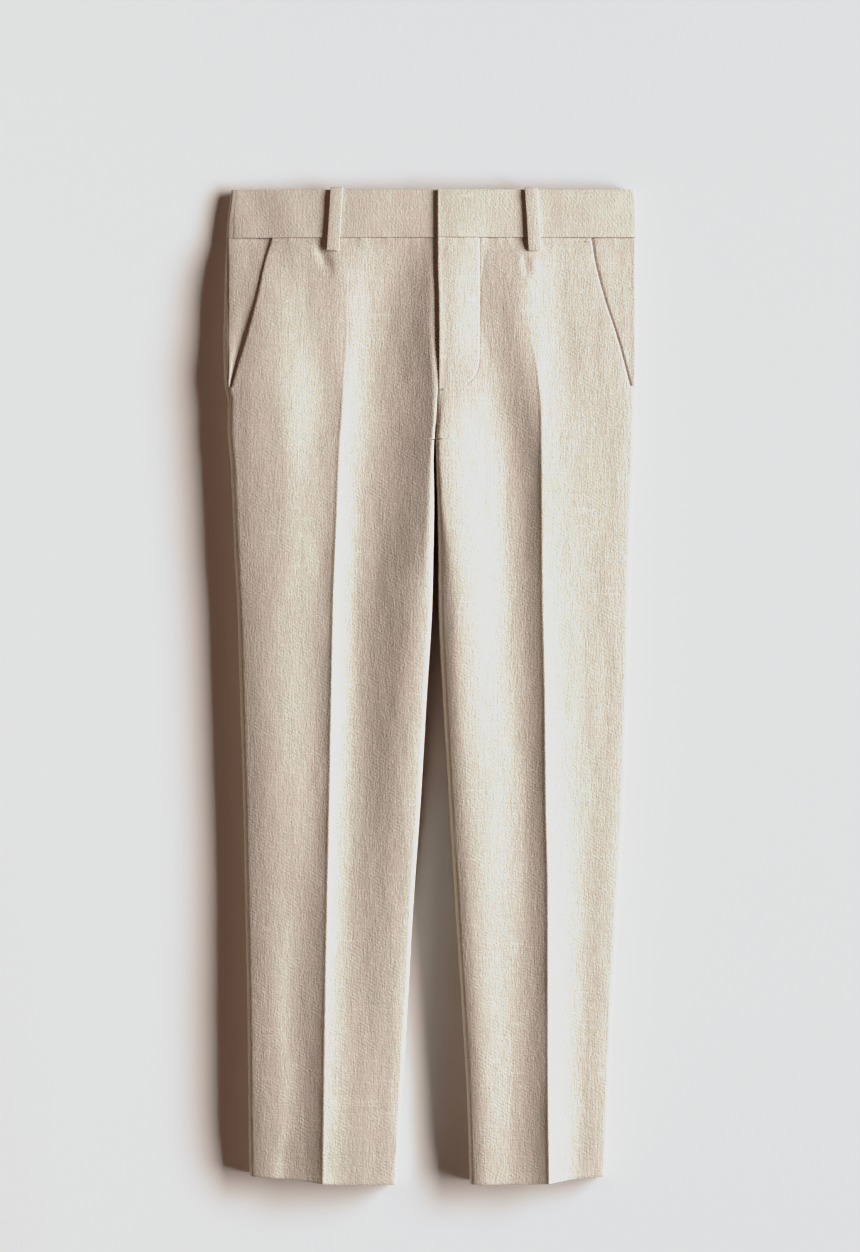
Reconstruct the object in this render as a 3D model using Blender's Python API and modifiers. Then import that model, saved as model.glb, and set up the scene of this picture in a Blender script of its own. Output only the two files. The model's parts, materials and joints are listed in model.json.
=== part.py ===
"""Suit trousers, laid flat with the front upwards.

The pieces are the ones that are cut and sewn: two fronts, two backs, two pocket
facings behind the slanted openings, a fly facing, a waistband in two halves that
overlap at the centre front, and five belt loops. Every piece is a closed wall of cloth.

Frame: +X is the wearer's left, +Y runs towards the waistband, +Z is up from the
surface that the trousers lie on. Metres. Lengths below are in millimetres.

A section is cut across the garment at a distance "down" from the top of the
waistband. In each half, "s" is the distance from the centre plane to the side.
"""

import math

import bmesh
import bpy
import numpy as np

for leftover in list(bpy.data.objects):
    bpy.data.objects.remove(leftover, do_unlink=True)

MM = 0.001

# ---- named sizes, millimetres ------------------------------------------------
CLOTH = 1.2                 # thickness of a panel of cloth
BAND = 2.2                  # thickness of the waistband, two layers and interlining
FACING = 1.0                # thickness of the fly facing
LOOP = 1.4                  # thickness of a belt loop, a folded strip
SEAM_GAP = 0.3              # clearance between two pieces at a seam
LAP_GAP = 0.45              # clearance between two pieces that lie on each other

BAND_HEIGHT = 34.0          # height of the waistband
BAND_PROUD = 0.8            # how far the waistband stands over the panels
BAND_LIFT = 2.65            # how far its overlapping end stands over the end below
FLY_LIFT = 2.95             # how far the fly edge stands over the front below it
UNDERLAP = 15.0             # how far the lower end runs on under the fly
FLY_END = 141.0             # end of the fly opening, down from the top
POCKET_END = 139.0          # lower end of the slanted pocket openings
CROTCH = 175.4              # where the four panels meet
HEM = 694.6                 # length of the trousers
HEM_RISE = 5.2              # the hem lies this much higher at the outer seams

TOP_Y = 346.45              # +Y of the waistband's top edge, from the middle of the part
MIDDLE_X = 0.07             # +X of the centre plane, from the middle of the part

BACK_ROLL = 6.5             # width of the roll from the flat back up to a seam
SIDE_SEAM_UP = 33.0         # degrees that the back wraps up round the hip
LOOP_WIDTH = 8.8
LOOP_END = 43.4             # lower end of the belt loops
LOOP_TOP = -1.7             # they pass over the band's top edge
LOOP_STAND = 2.6            # a front loop's face over the waistband

SIDE = {"right": -1.0, "left": 1.0}   # sign of x of the wearer's right and left half

# ---- section tables, millimetres ---------------------------------------------
# outline of each half: down, outer edge, inner edge (s); the inner edge counts below the crotch
OUTLINE = {
    "right": [
        (0, 139.8, -3.0), (7, 140.5, -3.0), (21, 142.3, -3.0), (49, 143.6, -3.0),
        (77, 144.4, -3.0), (105, 145.0, -3.0), (133, 144.4, -3.0), (140, 143.6, -3.0),
        (147, 141.8, -3.0), (161, 142.0, -2.8), (175.4, 141.6, -2.7), (189, 140.2, -2.4),
        (217, 138.8, -2.9), (252, 137.4, -2.3), (287, 135.4, -1.6), (357, 133.2, 2.6),
        (427, 131.1, 6.8), (497, 129.7, 11.8), (567, 128.3, 15.9), (637, 127.6, 20.1),
        (695, 126.8, 23.2),
    ],
    "left": [
        (0, 143.2, 3.3), (7, 144.2, 3.3), (21, 144.6, 3.3), (49, 144.7, 3.3),
        (77, 144.8, 3.3), (105, 144.8, 3.3), (133, 144.6, 3.3), (140, 144.5, 3.3),
        (147, 144.3, 3.3), (161, 144.1, 3.3), (175.4, 143.9, 3.3), (189, 143.5, 3.5),
        (217, 142.3, 4.4), (252, 140.9, 5.1), (287, 140.1, 5.3), (357, 138.6, 8.6),
        (427, 136.2, 12.8), (497, 132.1, 17.0), (567, 128.4, 21.5), (637, 125.6, 25.5),
        (695, 123.6, 27.4),
    ],
}

# relief of each front: down, height of the widest point, width and height of the outer
# roll, place and height of the low before the crease, place and height of the crease,
# place and height of the low after it, place and height of the inner rise
RELIEF_COLUMNS = (
    "down widest roll_width roll_z low_s low_z crease_s crease_z "
    "dip_s dip_z rise_s rise_z"
).split()
RELIEF = {
    "right": [
        (0, 5.3, 4.0, 8.6, 98, 8.6, 58, 8.6, 28, 8.6, 2.0, 8.6),
        (34, 6.0, 6.0, 11.0, 91, 11.2, 58, 11.6, 26, 11.2, 1.0, 12.4),
        (49, 6.3, 13, 12.6, 91, 12.6, 58, 14.0, 26, 12.0, 0.5, 14.8),
        (77, 7.0, 20, 15.5, 82, 14.4, 58.5, 15.2, 31, 11.6, -0.2, 16.6),
        (105, 7.5, 23, 17.0, 76, 14.0, 58.8, 14.2, 35, 10.5, -0.3, 17.0),
        (133, 8.0, 26, 18.5, 72, 13.5, 60.7, 13.8, 38, 10.0, -0.5, 17.0),
        (161, 8.0, 24, 18.8, 73, 14.2, 62.1, 14.8, 39, 10.5, 0.0, 18.0),
        (175, 8.0, 23, 19.0, 76, 15.0, 63.2, 15.6, 40, 11.5, 1.6, 19.5),
        (217, 8.0, 25, 19.5, 76, 16.8, 64.9, 17.4, 46, 13.0, 1.8, 21.0),
        (252, 8.0, 24, 19.5, 77, 16.8, 66.3, 17.8, 47, 12.8, 2.4, 21.5),
        (287, 8.0, 24, 19.5, 80, 16.8, 67.7, 18.2, 50, 13.0, 4.4, 21.5),
        (357, 8.0, 24, 19.5, 83, 16.3, 69.1, 18.4, 52, 13.0, 12.4, 20.5),
        (427, 8.0, 25, 19.0, 82, 17.2, 70.5, 19.2, 53, 14.3, 17.3, 19.8),
        (497, 7.5, 21, 17.2, 92, 16.8, 71.9, 20.2, 56, 15.5, 22.2, 19.0),
        (567, 7.0, 20, 15.8, 94, 16.0, 73.3, 20.2, 56, 15.8, 27.8, 17.8),
        (637, 6.0, 18, 14.5, 97, 15.0, 74.2, 20.7, 58, 16.0, 33.0, 17.0),
        (695, 5.5, 17, 12.5, 100, 13.2, 75.0, 20.7, 56, 14.8, 34.8, 15.8),
    ],
    "left": [
        (0, 5.3, 4.0, 8.6, 112, 8.6, 68, 8.6, 42, 8.6, 9.0, 8.6),
        (34, 6.0, 6.0, 11.0, 109, 11.2, 67, 11.8, 39, 11.2, 11.0, 12.4),
        (49, 6.3, 12, 12.5, 102, 12.8, 66.7, 14.6, 37, 12.4, 11.4, 14.8),
        (77, 7.0, 14, 13.0, 100, 13.0, 66.0, 15.6, 37, 12.4, 11.4, 16.6),
        (105, 7.5, 15, 13.8, 97, 13.0, 70.2, 15.8, 39, 11.8, 11.4, 17.0),
        (133, 8.0, 16, 14.5, 100, 13.5, 75.1, 16.2, 47, 11.8, 11.4, 17.2),
        (161, 8.0, 17, 15.0, 109, 13.8, 77.2, 17.2, 51, 12.0, 10.0, 18.6),
        (175, 8.0, 17, 15.2, 114, 14.0, 77.2, 17.6, 53, 12.2, 8.0, 20.0),
        (217, 8.0, 17, 15.5, 116, 14.6, 77.4, 18.4, 56, 13.0, 12.8, 22.0),
        (252, 8.0, 17, 16.0, 116, 15.4, 77.6, 19.4, 57, 14.4, 18.4, 22.5),
        (287, 8.0, 17, 16.0, 115, 15.8, 77.9, 20.0, 57, 15.6, 21.9, 22.8),
        (357, 8.0, 17, 16.5, 112, 16.8, 79.3, 21.2, 59, 16.8, 25.4, 22.8),
        (427, 8.0, 16, 16.5, 108, 17.6, 80.0, 22.0, 63, 18.0, 31.0, 22.0),
        (497, 8.0, 15, 16.5, 105, 18.0, 81.4, 22.6, 62, 18.6, 35.2, 21.5),
        (567, 7.5, 14, 16.5, 102, 18.2, 81.4, 22.8, 60, 18.6, 38.0, 20.8),
        (637, 7.0, 13, 16.0, 100, 18.0, 81.6, 23.0, 57, 18.0, 42.2, 19.6),
        (695, 6.5, 12, 15.5, 98, 17.5, 82.4, 22.5, 55, 16.8, 42.2, 18.0),
    ],
}

# the centre of the front: down, x of the fly edge and of the seam below it,
# height of the cloth there, how far the backs' centre edge stands up
CENTRE_COLUMNS = "down x front_z back_z".split()
CENTRE = [
    (0, 4.9, 8.6, 0.0), (34, 4.9, 12.5, 0.0), (49, 4.9, 15.0, 0.0), (77, 5.6, 16.8, 0.0),
    (105, 5.8, 17.2, 0.0), (141, 6.2, 17.2, 0.0), (146, 4.4, 17.2, 0.0),
    (161, 4.2, 17.0, 0.5), (170, 3.5, 14.5, 4.0), (175.4, 3.0, 9.6, 9.2),
]
# height of the inner seams of the legs
INSEAM = [(175.4, 9.4), (357, 9.4), (497, 8.8), (637, 7.8), (695, 7.2)]

# height of the back's underside at the waist, where the loops lie beneath it
UNDERSIDE = [(0, 1.8), (34, 1.8), (34.2, 2.6), (50, 1.5), (80, 0.0), (695, 0.0)]

# slanted pocket openings: down, s
POCKET = {
    "right": [(34, 110.6), (49, 115.0), (77, 121.0), (105, 128.6), (133, 137.0), (139, 138.6)],
    "left": [(34, 112.0), (49, 114.2), (77, 121.2), (105, 130.2), (128, 136.4), (139, 139.2)],
}
# curve of the fly's stitching, the edge of the facing behind it: down, x
FLY_CURVE = [(34, 34.1), (112, 34.1), (122, 33.6), (130, 31.2), (135, 27.0), (139, 21.0)]

# belt loops in front: half, s at the top, s at the lower end
FRONT_LOOPS = {"right": (65.6, 68.1), "left": (70.2, 72.6)}
# belt loops at the back: name, x
BACK_LOOPS = {"centre": 3.0, "right": -72.0, "left": 76.0}

# where the rows of every panel lie
PANEL_ROWS = [
    34.3, 42, 51, 64, 80, 98, 116, 129, 138.6, 139.0, 139.35, 142.6, 147, 155,
    163, 169, 173, 175.6, 182, 193, 210, 235, 262, 295, 335, 380, 430, 485, 540,
    595, 640, 675, 694.6,
]


# ---- interpolation -----------------------------------------------------------
def monotone(points_x, points_y, x):
    """Smooth curve through the points that never swings past them."""
    px = np.asarray(points_x, float)
    py = np.asarray(points_y, float)
    step = np.diff(px)
    slope = np.diff(py) / step
    tangent = np.zeros_like(py)
    tangent[0], tangent[-1] = slope[0], slope[-1]
    for i in range(1, len(px) - 1):
        if slope[i - 1] * slope[i] > 0:
            a = 2 * step[i] + step[i - 1]
            b = step[i] + 2 * step[i - 1]
            tangent[i] = (a + b) / (a / slope[i - 1] + b / slope[i])
    x = min(max(x, px[0]), px[-1])
    i = min(max(int(np.searchsorted(px, x)) - 1, 0), len(step) - 1)
    return hermite(px[i], px[i + 1], py[i], py[i + 1], tangent[i], tangent[i + 1], x)


def hermite(x0, x1, y0, y1, m0, m1, x):
    """Cubic from (x0, y0) to (x1, y1) with end slopes m0 and m1."""
    h = x1 - x0
    t = (x - x0) / h
    return (
        y0 * (1 + 2 * t) * (1 - t) ** 2
        + m0 * h * t * (1 - t) ** 2
        + y1 * t * t * (3 - 2 * t)
        - m1 * h * t * t * (1 - t)
    )


def column(rows, index, down):
    return monotone([row[0] for row in rows], [row[index] for row in rows], down)


def straight(rows, index, down):
    return float(np.interp(down, [row[0] for row in rows], [row[index] for row in rows]))


def ramp(x, start, end):
    """0 before start, 1 past end, smooth between."""
    t = min(max((x - start) / (end - start), 0.0), 1.0)
    return t * t * (3 - 2 * t)


# ---- one section of one half -------------------------------------------------
class Section:
    """The outer faces of the front and the back across one half, at one distance down."""

    def __init__(self, half, down):
        self.half, self.down = half, down
        self.outer = column(OUTLINE[half], 1, down)
        for index, name in enumerate(RELIEF_COLUMNS[1:], 1):
            setattr(self, name, column(RELIEF[half], index, down))
        self.leg = down > CROTCH
        centre = column(CENTRE, 1, down)
        self.centre = centre * SIDE[half]
        if self.leg:
            self.inner = column(OUTLINE[half], 2, down)
            self.edge_z = column(INSEAM, 1, down)
            self.back_edge_z = self.edge_z
        else:
            self.inner = self.centre
            self.edge_z = column(CENTRE, 2, down)
            self.back_edge_z = straight(UNDERSIDE, 1, down) + straight(CENTRE, 3, down)
        self.round = ramp(down, 158, CROTCH)
        self.floor = straight(UNDERSIDE, 1, down)
        self.seam_up = SIDE_SEAM_UP * (1 - ramp(down, 120, 185))

    def top(self, s):
        """Height of the front's outer face at s."""
        roll_end = self.outer - self.roll_width
        if s >= roll_end:
            u = (self.outer - s) / self.roll_width
            arch = math.sqrt(max(0.0, 1 - (1 - u) ** 2))
            return self.widest + (self.roll_z - self.widest) * arch
        if s >= self.low_s:
            return hermite(self.low_s, roll_end, self.low_z, self.roll_z, 0, 0, s)
        if s >= self.crease_s:
            steep = 2 * (self.low_z - self.crease_z) / (self.low_s - self.crease_s)
            return hermite(
                self.crease_s, self.low_s, self.crease_z, self.low_z, steep, 0, s
            )
        if s >= self.dip_s:
            steep = 2 * (self.crease_z - self.dip_z) / (self.crease_s - self.dip_s)
            return hermite(
                self.dip_s, self.crease_s, self.dip_z, self.crease_z, 0, steep, s
            )
        if s >= self.rise_s:
            return hermite(self.rise_s, self.dip_s, self.rise_z, self.dip_z, 0, 0, s)
        u = min(max((s - self.inner) / (self.rise_s - self.inner), 0.0), 1.0)
        arch = math.sqrt(max(0.0, 1 - (1 - u) ** 2))
        soft = 0.5 - 0.5 * math.cos(math.pi * u)
        share = soft + (arch - soft) * self.round
        return self.edge_z + (self.rise_z - self.edge_z) * share

    def side(self, degrees):
        """(s, z) on the side roll: 0 at the widest point, 90 on top, -90 beneath."""
        angle = math.radians(degrees)
        if degrees >= 0:
            wide, high = self.roll_width, self.roll_z - self.widest
        else:
            wide, high = min(BACK_ROLL, 1.4 * self.roll_width), self.widest - self.floor
        return (
            self.outer - wide * (1 - math.cos(angle)),
            self.widest + high * math.sin(angle),
        )

    def inner_side(self, degrees, gap=0.0):
        """(s, z) of the back's inner edge: 0 at the seam, -90 on the floor."""
        angle = math.radians(degrees)
        return (
            self.inner + gap + BACK_ROLL * (1 - math.cos(angle)),
            self.floor + (self.back_edge_z - self.floor) * (1 + math.sin(angle)),
        )


def lap(section, s, lift, start, end):
    """How far the overlapping left side stands over the right one."""
    return lift * (1 - ramp(s, start, end)) if section.half == "left" else 0.0


def spread(start, end, count):
    return [start + (end - start) * k / count for k in range(count + 1)]


# ---- rows of points of each piece --------------------------------------------
def seam_shift(section):
    """Degrees on the side roll that half of the seam's gap takes up."""
    return math.degrees(0.65 * SEAM_GAP / max(4.0, section.roll_z - section.widest))


def roll_normal(section, degrees):
    """Direction straight out of the side roll."""
    angle = math.radians(degrees)
    wide, high = section.roll_width, section.roll_z - section.widest
    if degrees < 0:
        high = section.widest - section.floor
        wide = min(BACK_ROLL, 1.4 * section.roll_width)
    s, z = high * math.cos(angle), wide * math.sin(angle)
    return s / math.hypot(s, z), z / math.hypot(s, z)


def offset(points, first, last, depth):
    """The row moved inwards by the depth; first and last give the direction out at its ends."""
    moved = []
    for i, (s, z) in enumerate(points):
        if i == 0 or i == len(points) - 1:
            n = first if i == 0 else last
            moved.append((s - n[0] * depth, z - n[1] * depth))
            continue
        normals = []
        for (s0, z0), (s1, z1) in ((points[i - 1], (s, z)), ((s, z), points[i + 1])):
            length = math.hypot(s1 - s0, z1 - z0)
            normals.append(((z0 - z1) / length, (s1 - s0) / length))
        (a, b), (c, d) = normals
        if a * first[0] + b * first[1] < 0 and i < 3 or points[0][0] > points[-1][0]:
            a, b, c, d = -a, -b, -c, -d
        share = depth / max(0.3, 1 + a * c + b * d)
        moved.append((s - (a + c) * share, z - (b + d) * share))
    return moved


def inwards(section, end):
    """Places across the front from its outer low to its inner end, with one on the crease."""
    if section.half == "left":
        fly = column(FLY_CURVE, 1, min(section.down, 139.0))
        middle = fly + (section.rise_s - fly) * ramp(section.down, 139.0, 160.0)
    else:
        middle = section.rise_s
    values = spread(section.low_s, section.crease_s, 2)
    values += spread(section.crease_s, middle, 4)[1:]
    return values + [end + (middle - end) * u for u in rounded(section, 4)[1:]]


def rounded(section, count):
    """Shares of the last stretch, evenly spaced on the flat and by angle on a roll."""
    shares = []
    for k in range(count + 1):
        even = 1 - k / count
        shares.append(even + (1 - math.cos(math.radians(90 * even)) - even) * section.round)
    return shares


def front_height(section, s):
    """Height of the front's outer face, also where it runs past the centre."""
    if section.half == "right" and s < section.centre and not section.leg:
        return Section("left", section.down).top(-s)
    fade = 1 - ramp(section.down, 139.2, 143.5)
    return section.top(s) + lap(section, s, FLY_LIFT * fade, 23, 48)


def front_row(section):
    """The front's outer face, from its outer seam or pocket edge to its inner seam."""
    down = section.down
    gap = SEAM_GAP / 2
    if POCKET_END >= down:
        start = column(POCKET[section.half], 1, down)
        points = [
            (s, section.top(s))
            for s in (start - (start - section.low_s) * (k / 5) ** 1.2 for k in range(6))
        ]
        first = (0.0, 1.0)
    else:
        seam = section.seam_up + seam_shift(section)
        points = [section.side(d) for d in spread(seam, 90, 3)]
        roll_end = section.outer - section.roll_width
        points += [(s, section.top(s)) for s in spread(roll_end, section.low_s, 2)[1:]]
        first = roll_normal(section, section.seam_up)
    if section.leg:
        end = section.inner
    elif down < FLY_END and section.half == "right":
        # the lower layer runs on under the fly, and ends before the fly does
        end = section.centre - UNDERLAP * (1 - ramp(down, 133, 140)) + gap
    else:
        end = section.centre + gap
    points += [(s, front_height(section, s)) for s in inwards(section, end)[1:]]
    last = (-section.round, 1.0 - section.round)
    if section.leg:
        points[-1] = (end, section.edge_z + gap)
        last = (-1.0, 0.0)
    size = math.hypot(*last)
    last = (last[0] / size, last[1] / size)
    return points, offset(points, first, last, CLOTH)


def back_row(section):
    """The back's outer face, from the side seam under the garment to its inner seam."""
    gap = SEAM_GAP / 2
    seam = section.seam_up - seam_shift(section)
    points = [section.side(d) for d in spread(seam, -90, 4)]
    flat_end = section.inner + BACK_ROLL
    points += [(s, section.floor) for s in spread(points[-1][0], flat_end, 3)[1:]]
    side_gap = 0.0 if section.leg else gap
    points += [section.inner_side(d, side_gap) for d in spread(-90, 0, 3)[1:]]
    turn = section.round
    last = (-turn / math.hypot(turn, 1 - turn), (turn - 1) / math.hypot(turn, 1 - turn))
    if section.leg:
        points[-1] = (points[-1][0], section.edge_z - gap)
    # offset() takes a row that faces up, so the back's row is turned over for it
    out = roll_normal(section, section.seam_up)
    turned = offset([(s, -z) for s, z in points], (out[0], -out[1]), (last[0], -last[1]), CLOTH)
    return points, [(s, -z) for s, z in turned]


def on_chord(points, s):
    """Height on the straight faces between a row's own points."""
    ordered = sorted(points)
    return float(np.interp(s, [p[0] for p in ordered], [p[1] for p in ordered]))


def facing_row(section):
    """The pocket facing: level with the side seam, and under the front at the opening."""
    opening = column(POCKET[section.half], 1, section.down)
    start = section.side(section.seam_up + seam_shift(section))[0]
    room = start - opening
    over, _ = front_row(section)
    depth = CLOTH + LAP_GAP
    shares = (0.0, 0.12, 0.3, 0.55, 0.8, 1.0)
    places = [start - max(room * share, 0.8 * k) for k, share in enumerate(shares)]
    points = []
    for s in places:
        sunk = depth * ramp(start - s, 0.0, min(7.0, 0.7 * room))
        z = section.top(s)
        slope = (section.top(s - 0.05) - section.top(s - 0.45)) / 0.4
        size = math.hypot(slope, 1.0)
        points.append((s + slope / size * sunk, z - sunk / size))
    for reach in (3.0, 7.0):
        s = min(opening, places[-1]) - reach
        slope = (on_chord(over, s + 0.5) - on_chord(over, s - 0.5)) / 1.0
        points.append((s, on_chord(over, s) - depth * math.hypot(slope, 1.0)))
    first = roll_normal(section, section.seam_up)
    return points, offset(points, first, (0.0, 1.0), CLOTH)


def fly_facing_row(section):
    """The folded-under facing along the fly's edge, out to the curved stitching."""
    over, _ = front_row(section)
    points = [(s, z - CLOTH - 0.36) for s, z in over[-5:]][::-1]
    points[0] = (points[0][0] + 0.1, points[0][1])
    return points, [(s, z - FACING) for s, z in points]


def band_row(section):
    """One half of the waistband, from its end at the centre front round to the centre back."""
    half = section.half
    gap = SEAM_GAP / 2
    if half == "right":
        start = section.centre - UNDERLAP
        front = spread(start, section.centre, 2) + [8.0, 20.0]
    else:
        start = section.centre
        front = [start, 11.0, 17.0, 23.0, 32.0]
    roll_end = section.outer - section.roll_width
    front += spread(front[-1], roll_end, 5)[1:]
    points = []
    for s in front:
        if half == "right" and s < section.centre:
            z = Section("left", section.down).top(-s)
        else:
            z = section.top(s) + lap(section, s, BAND_LIFT, 20, 42)
        points.append((s, z + BAND_PROUD))
    for d in spread(90, 0, 4)[1:]:
        s, z = section.side(d)
        points.append((s, z + BAND_PROUD * math.sin(math.radians(d))))
    points += [section.side(d) for d in spread(0, -90, 4)[1:]]
    for s in spread(points[-1][0], section.centre + gap, 4)[1:]:
        points.append((s, section.floor))
    return points


# ---- meshes ------------------------------------------------------------------
def place(half, s, down, z):
    return (
        (SIDE[half] * s + MIDDLE_X) * MM,
        (TOP_Y - down) * MM,
        z * MM,
    )


def hem_shift(section, s):
    """The hem is cut a little shorter at the outer seam than at the crease."""
    share = ramp(section.down, 560, HEM)
    return HEM_RISE * share * ramp(s, section.crease_s - 20, section.outer)


COLLECTION = bpy.data.collections.new("suit_trousers")
bpy.context.scene.collection.children.link(COLLECTION)
ROOT = bpy.data.objects.new("suit_trousers_frame", None)
COLLECTION.objects.link(ROOT)


def cloth_material(name, colour, roughness):
    material = bpy.data.materials.new(name)
    material.use_nodes = True
    shader = material.node_tree.nodes["Principled BSDF"]
    shader.inputs["Base Color"].default_value = (*colour, 1.0)
    shader.inputs["Roughness"].default_value = roughness
    shader.inputs["Metallic"].default_value = 0.0
    return material


def add_piece(name, shape, colour):
    """The finished mesh as a named piece, with its origin at its own middle."""
    mesh = bpy.data.meshes.new(name)
    shape.to_mesh(mesh)
    shape.free()
    points = np.array([vertex.co[:] for vertex in mesh.vertices])
    middle = [round(float(value), 3) for value in points.mean(axis=0)]
    for vertex in mesh.vertices:
        vertex.co = [value - shift for value, shift in zip(vertex.co, middle)]
    mesh.materials.append(cloth_material(name + "_cloth", colour, 0.85))
    mesh.shade_smooth()
    mesh.set_sharp_from_angle(angle=math.radians(40))
    piece = bpy.data.objects.new(name, mesh)
    piece.location = middle
    piece.parent = ROOT
    COLLECTION.objects.link(piece)
    return piece


def sheet_faces(shape, grid, turned):
    for upper, lower in zip(grid, grid[1:]):
        for a, b, c, d in zip(upper, upper[1:], lower[1:], lower):
            shape.faces.new((d, c, b, a) if turned else (a, b, c, d))


def lofted(name, outer_rows, inner_rows, colour):
    """A wall lofted through rows of its outer and its inner face, closed along its edges."""
    shape = bmesh.new()
    outer = [[shape.verts.new(point) for point in row] for row in outer_rows]
    inner = [[shape.verts.new(point) for point in row] for row in inner_rows]
    sheet_faces(shape, outer, False)
    sheet_faces(shape, inner, True)
    edges = (
        list(zip(outer[0], inner[0])),
        [(row[-1], under[-1]) for row, under in zip(outer, inner)],
        list(zip(outer[-1], inner[-1])),
        [(row[0], under[0]) for row, under in zip(outer, inner)],
    )
    for edge in edges:
        for (a, b), (c, d) in zip(edge, edge[1:]):
            shape.faces.new((a, b, d, c))
    bmesh.ops.recalc_face_normals(shape, faces=shape.faces[:])
    return add_piece(name, shape, colour)


def wall(name, rows, thickness, colour, outward):
    """A grid of points made into a closed wall, its outer face on the points."""
    shape = bmesh.new()
    grid = [[shape.verts.new(point) for point in row] for row in rows]
    sheet_faces(shape, grid, outward < 0)
    piece = add_piece(name, shape, colour)
    solid = piece.modifiers.new("cloth", "SOLIDIFY")
    solid.thickness = thickness * MM
    solid.offset = -1.0
    solid.use_even_offset = True
    return piece


BEIGE = (0.56, 0.50, 0.42)
BEIGE_BACK = (0.54, 0.48, 0.40)
BEIGE_BAND = (0.57, 0.51, 0.43)
BEIGE_LOOP = (0.58, 0.52, 0.44)


def build_panels(half):
    flip = SIDE[half]
    sections = [Section(half, down) for down in PANEL_ROWS]

    def build(name, maker, chosen, colour):
        outer_rows, inner_rows = [], []
        for section in chosen:
            for rows, row in zip((outer_rows, inner_rows), maker(section)):
                rows.append([
                    place(half, s, section.down - hem_shift(section, s), z) for s, z in row
                ])
        lofted(name, outer_rows, inner_rows, colour)

    build("front_" + half, front_row, sections, BEIGE)
    build("back_" + half, back_row, sections, BEIGE_BACK)
    pocket = [section for section in sections if section.down < 138.7]
    build("pocket_facing_" + half, facing_row, pocket, BEIGE_BACK)
    if half == "left":
        fly = [section for section in sections if section.down < 138.7]
        build("fly_facing", fly_facing_row, fly, BEIGE_BACK)
    band = [Section(half, down) for down in (0.0, 7.0, 14.0, 21.0, 28.0, BAND_HEIGHT)]
    rows = [[place(half, s, section.down, z) for s, z in band_row(section)] for section in band]
    wall("waistband_" + half, rows, BAND, BEIGE_BAND, -flip)


def build_front_loop(half):
    """A strip that stands off the band, turns over its top edge and ends below its seam."""
    s_top, s_low = FRONT_LOOPS[half]
    rows = []
    path = [(LOOP_TOP, None, 8.0), (LOOP_TOP, None, 10.3), (LOOP_TOP + 0.7, None, 11.6)]
    path += [(1.2, 2.3, None), (8.0, LOOP_STAND, None), (17.0, LOOP_STAND, None)]
    path += [(26.0, LOOP_STAND, None), (33.0, 2.4, None), (38.0, 1.7, None), (LOOP_END, 1.0, None)]
    for down, stand, level in path:
        middle = s_top + (s_low - s_top) * max(down, 0) / LOOP_END
        row = []
        for part in (-0.5, 0.0, 0.5):
            s = middle + part * LOOP_WIDTH
            if level is None:
                z = Section(half, down).top(s) + BAND_PROUD + stand
            else:
                z = level
            row.append(place(half, s, down, z))
        rows.append(row)
    wall("belt_loop_front_" + half, rows, LOOP, BEIGE_LOOP, -SIDE[half])


def build_back_loop(name, x):
    """A strip pressed flat under the band, turned up over its top edge."""
    rows = []
    for down, z in ((LOOP_TOP, 3.4), (LOOP_TOP, 0.0), (20.0, 0.0), (LOOP_END, 0.0)):
        row = [
            place("left", x + part * LOOP_WIDTH, down, z) for part in (-0.5, 0.0, 0.5)
        ]
        rows.append(row)
    wall("belt_loop_back_" + name, rows, LOOP, BEIGE_LOOP, 1.0)


for half in ("right", "left"):
    build_panels(half)
    build_front_loop(half)
for name, x in BACK_LOOPS.items():
    build_back_loop(name, x)

bpy.context.view_layer.update()
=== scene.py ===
"""Looks of the suit trousers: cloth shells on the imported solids' forms, threads, light and camera.

Lengths in the tables are millimetres unless a name says otherwise. "down" is the distance
from the top of the waistband, and "s" the distance from the centre plane in each half.
"""

import json
import math

import bmesh
import bpy
import numpy as np
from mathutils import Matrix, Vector

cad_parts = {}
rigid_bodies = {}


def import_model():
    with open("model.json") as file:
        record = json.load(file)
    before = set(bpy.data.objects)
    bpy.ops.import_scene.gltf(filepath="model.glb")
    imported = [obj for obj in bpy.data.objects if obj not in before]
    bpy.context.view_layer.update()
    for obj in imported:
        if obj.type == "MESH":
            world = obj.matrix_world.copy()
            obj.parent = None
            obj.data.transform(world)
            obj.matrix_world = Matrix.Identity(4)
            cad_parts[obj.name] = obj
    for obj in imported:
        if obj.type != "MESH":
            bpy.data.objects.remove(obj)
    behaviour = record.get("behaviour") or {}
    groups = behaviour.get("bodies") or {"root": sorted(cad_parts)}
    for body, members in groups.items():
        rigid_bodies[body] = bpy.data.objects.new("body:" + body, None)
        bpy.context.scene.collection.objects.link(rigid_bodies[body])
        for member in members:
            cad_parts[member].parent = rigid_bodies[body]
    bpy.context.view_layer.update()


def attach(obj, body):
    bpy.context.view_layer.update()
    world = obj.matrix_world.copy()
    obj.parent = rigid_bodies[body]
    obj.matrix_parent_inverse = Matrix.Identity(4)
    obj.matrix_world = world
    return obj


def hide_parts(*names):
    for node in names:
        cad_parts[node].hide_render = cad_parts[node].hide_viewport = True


for leftover in list(bpy.data.objects):
    bpy.data.objects.remove(leftover, do_unlink=True)

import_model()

MM = 0.001

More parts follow.
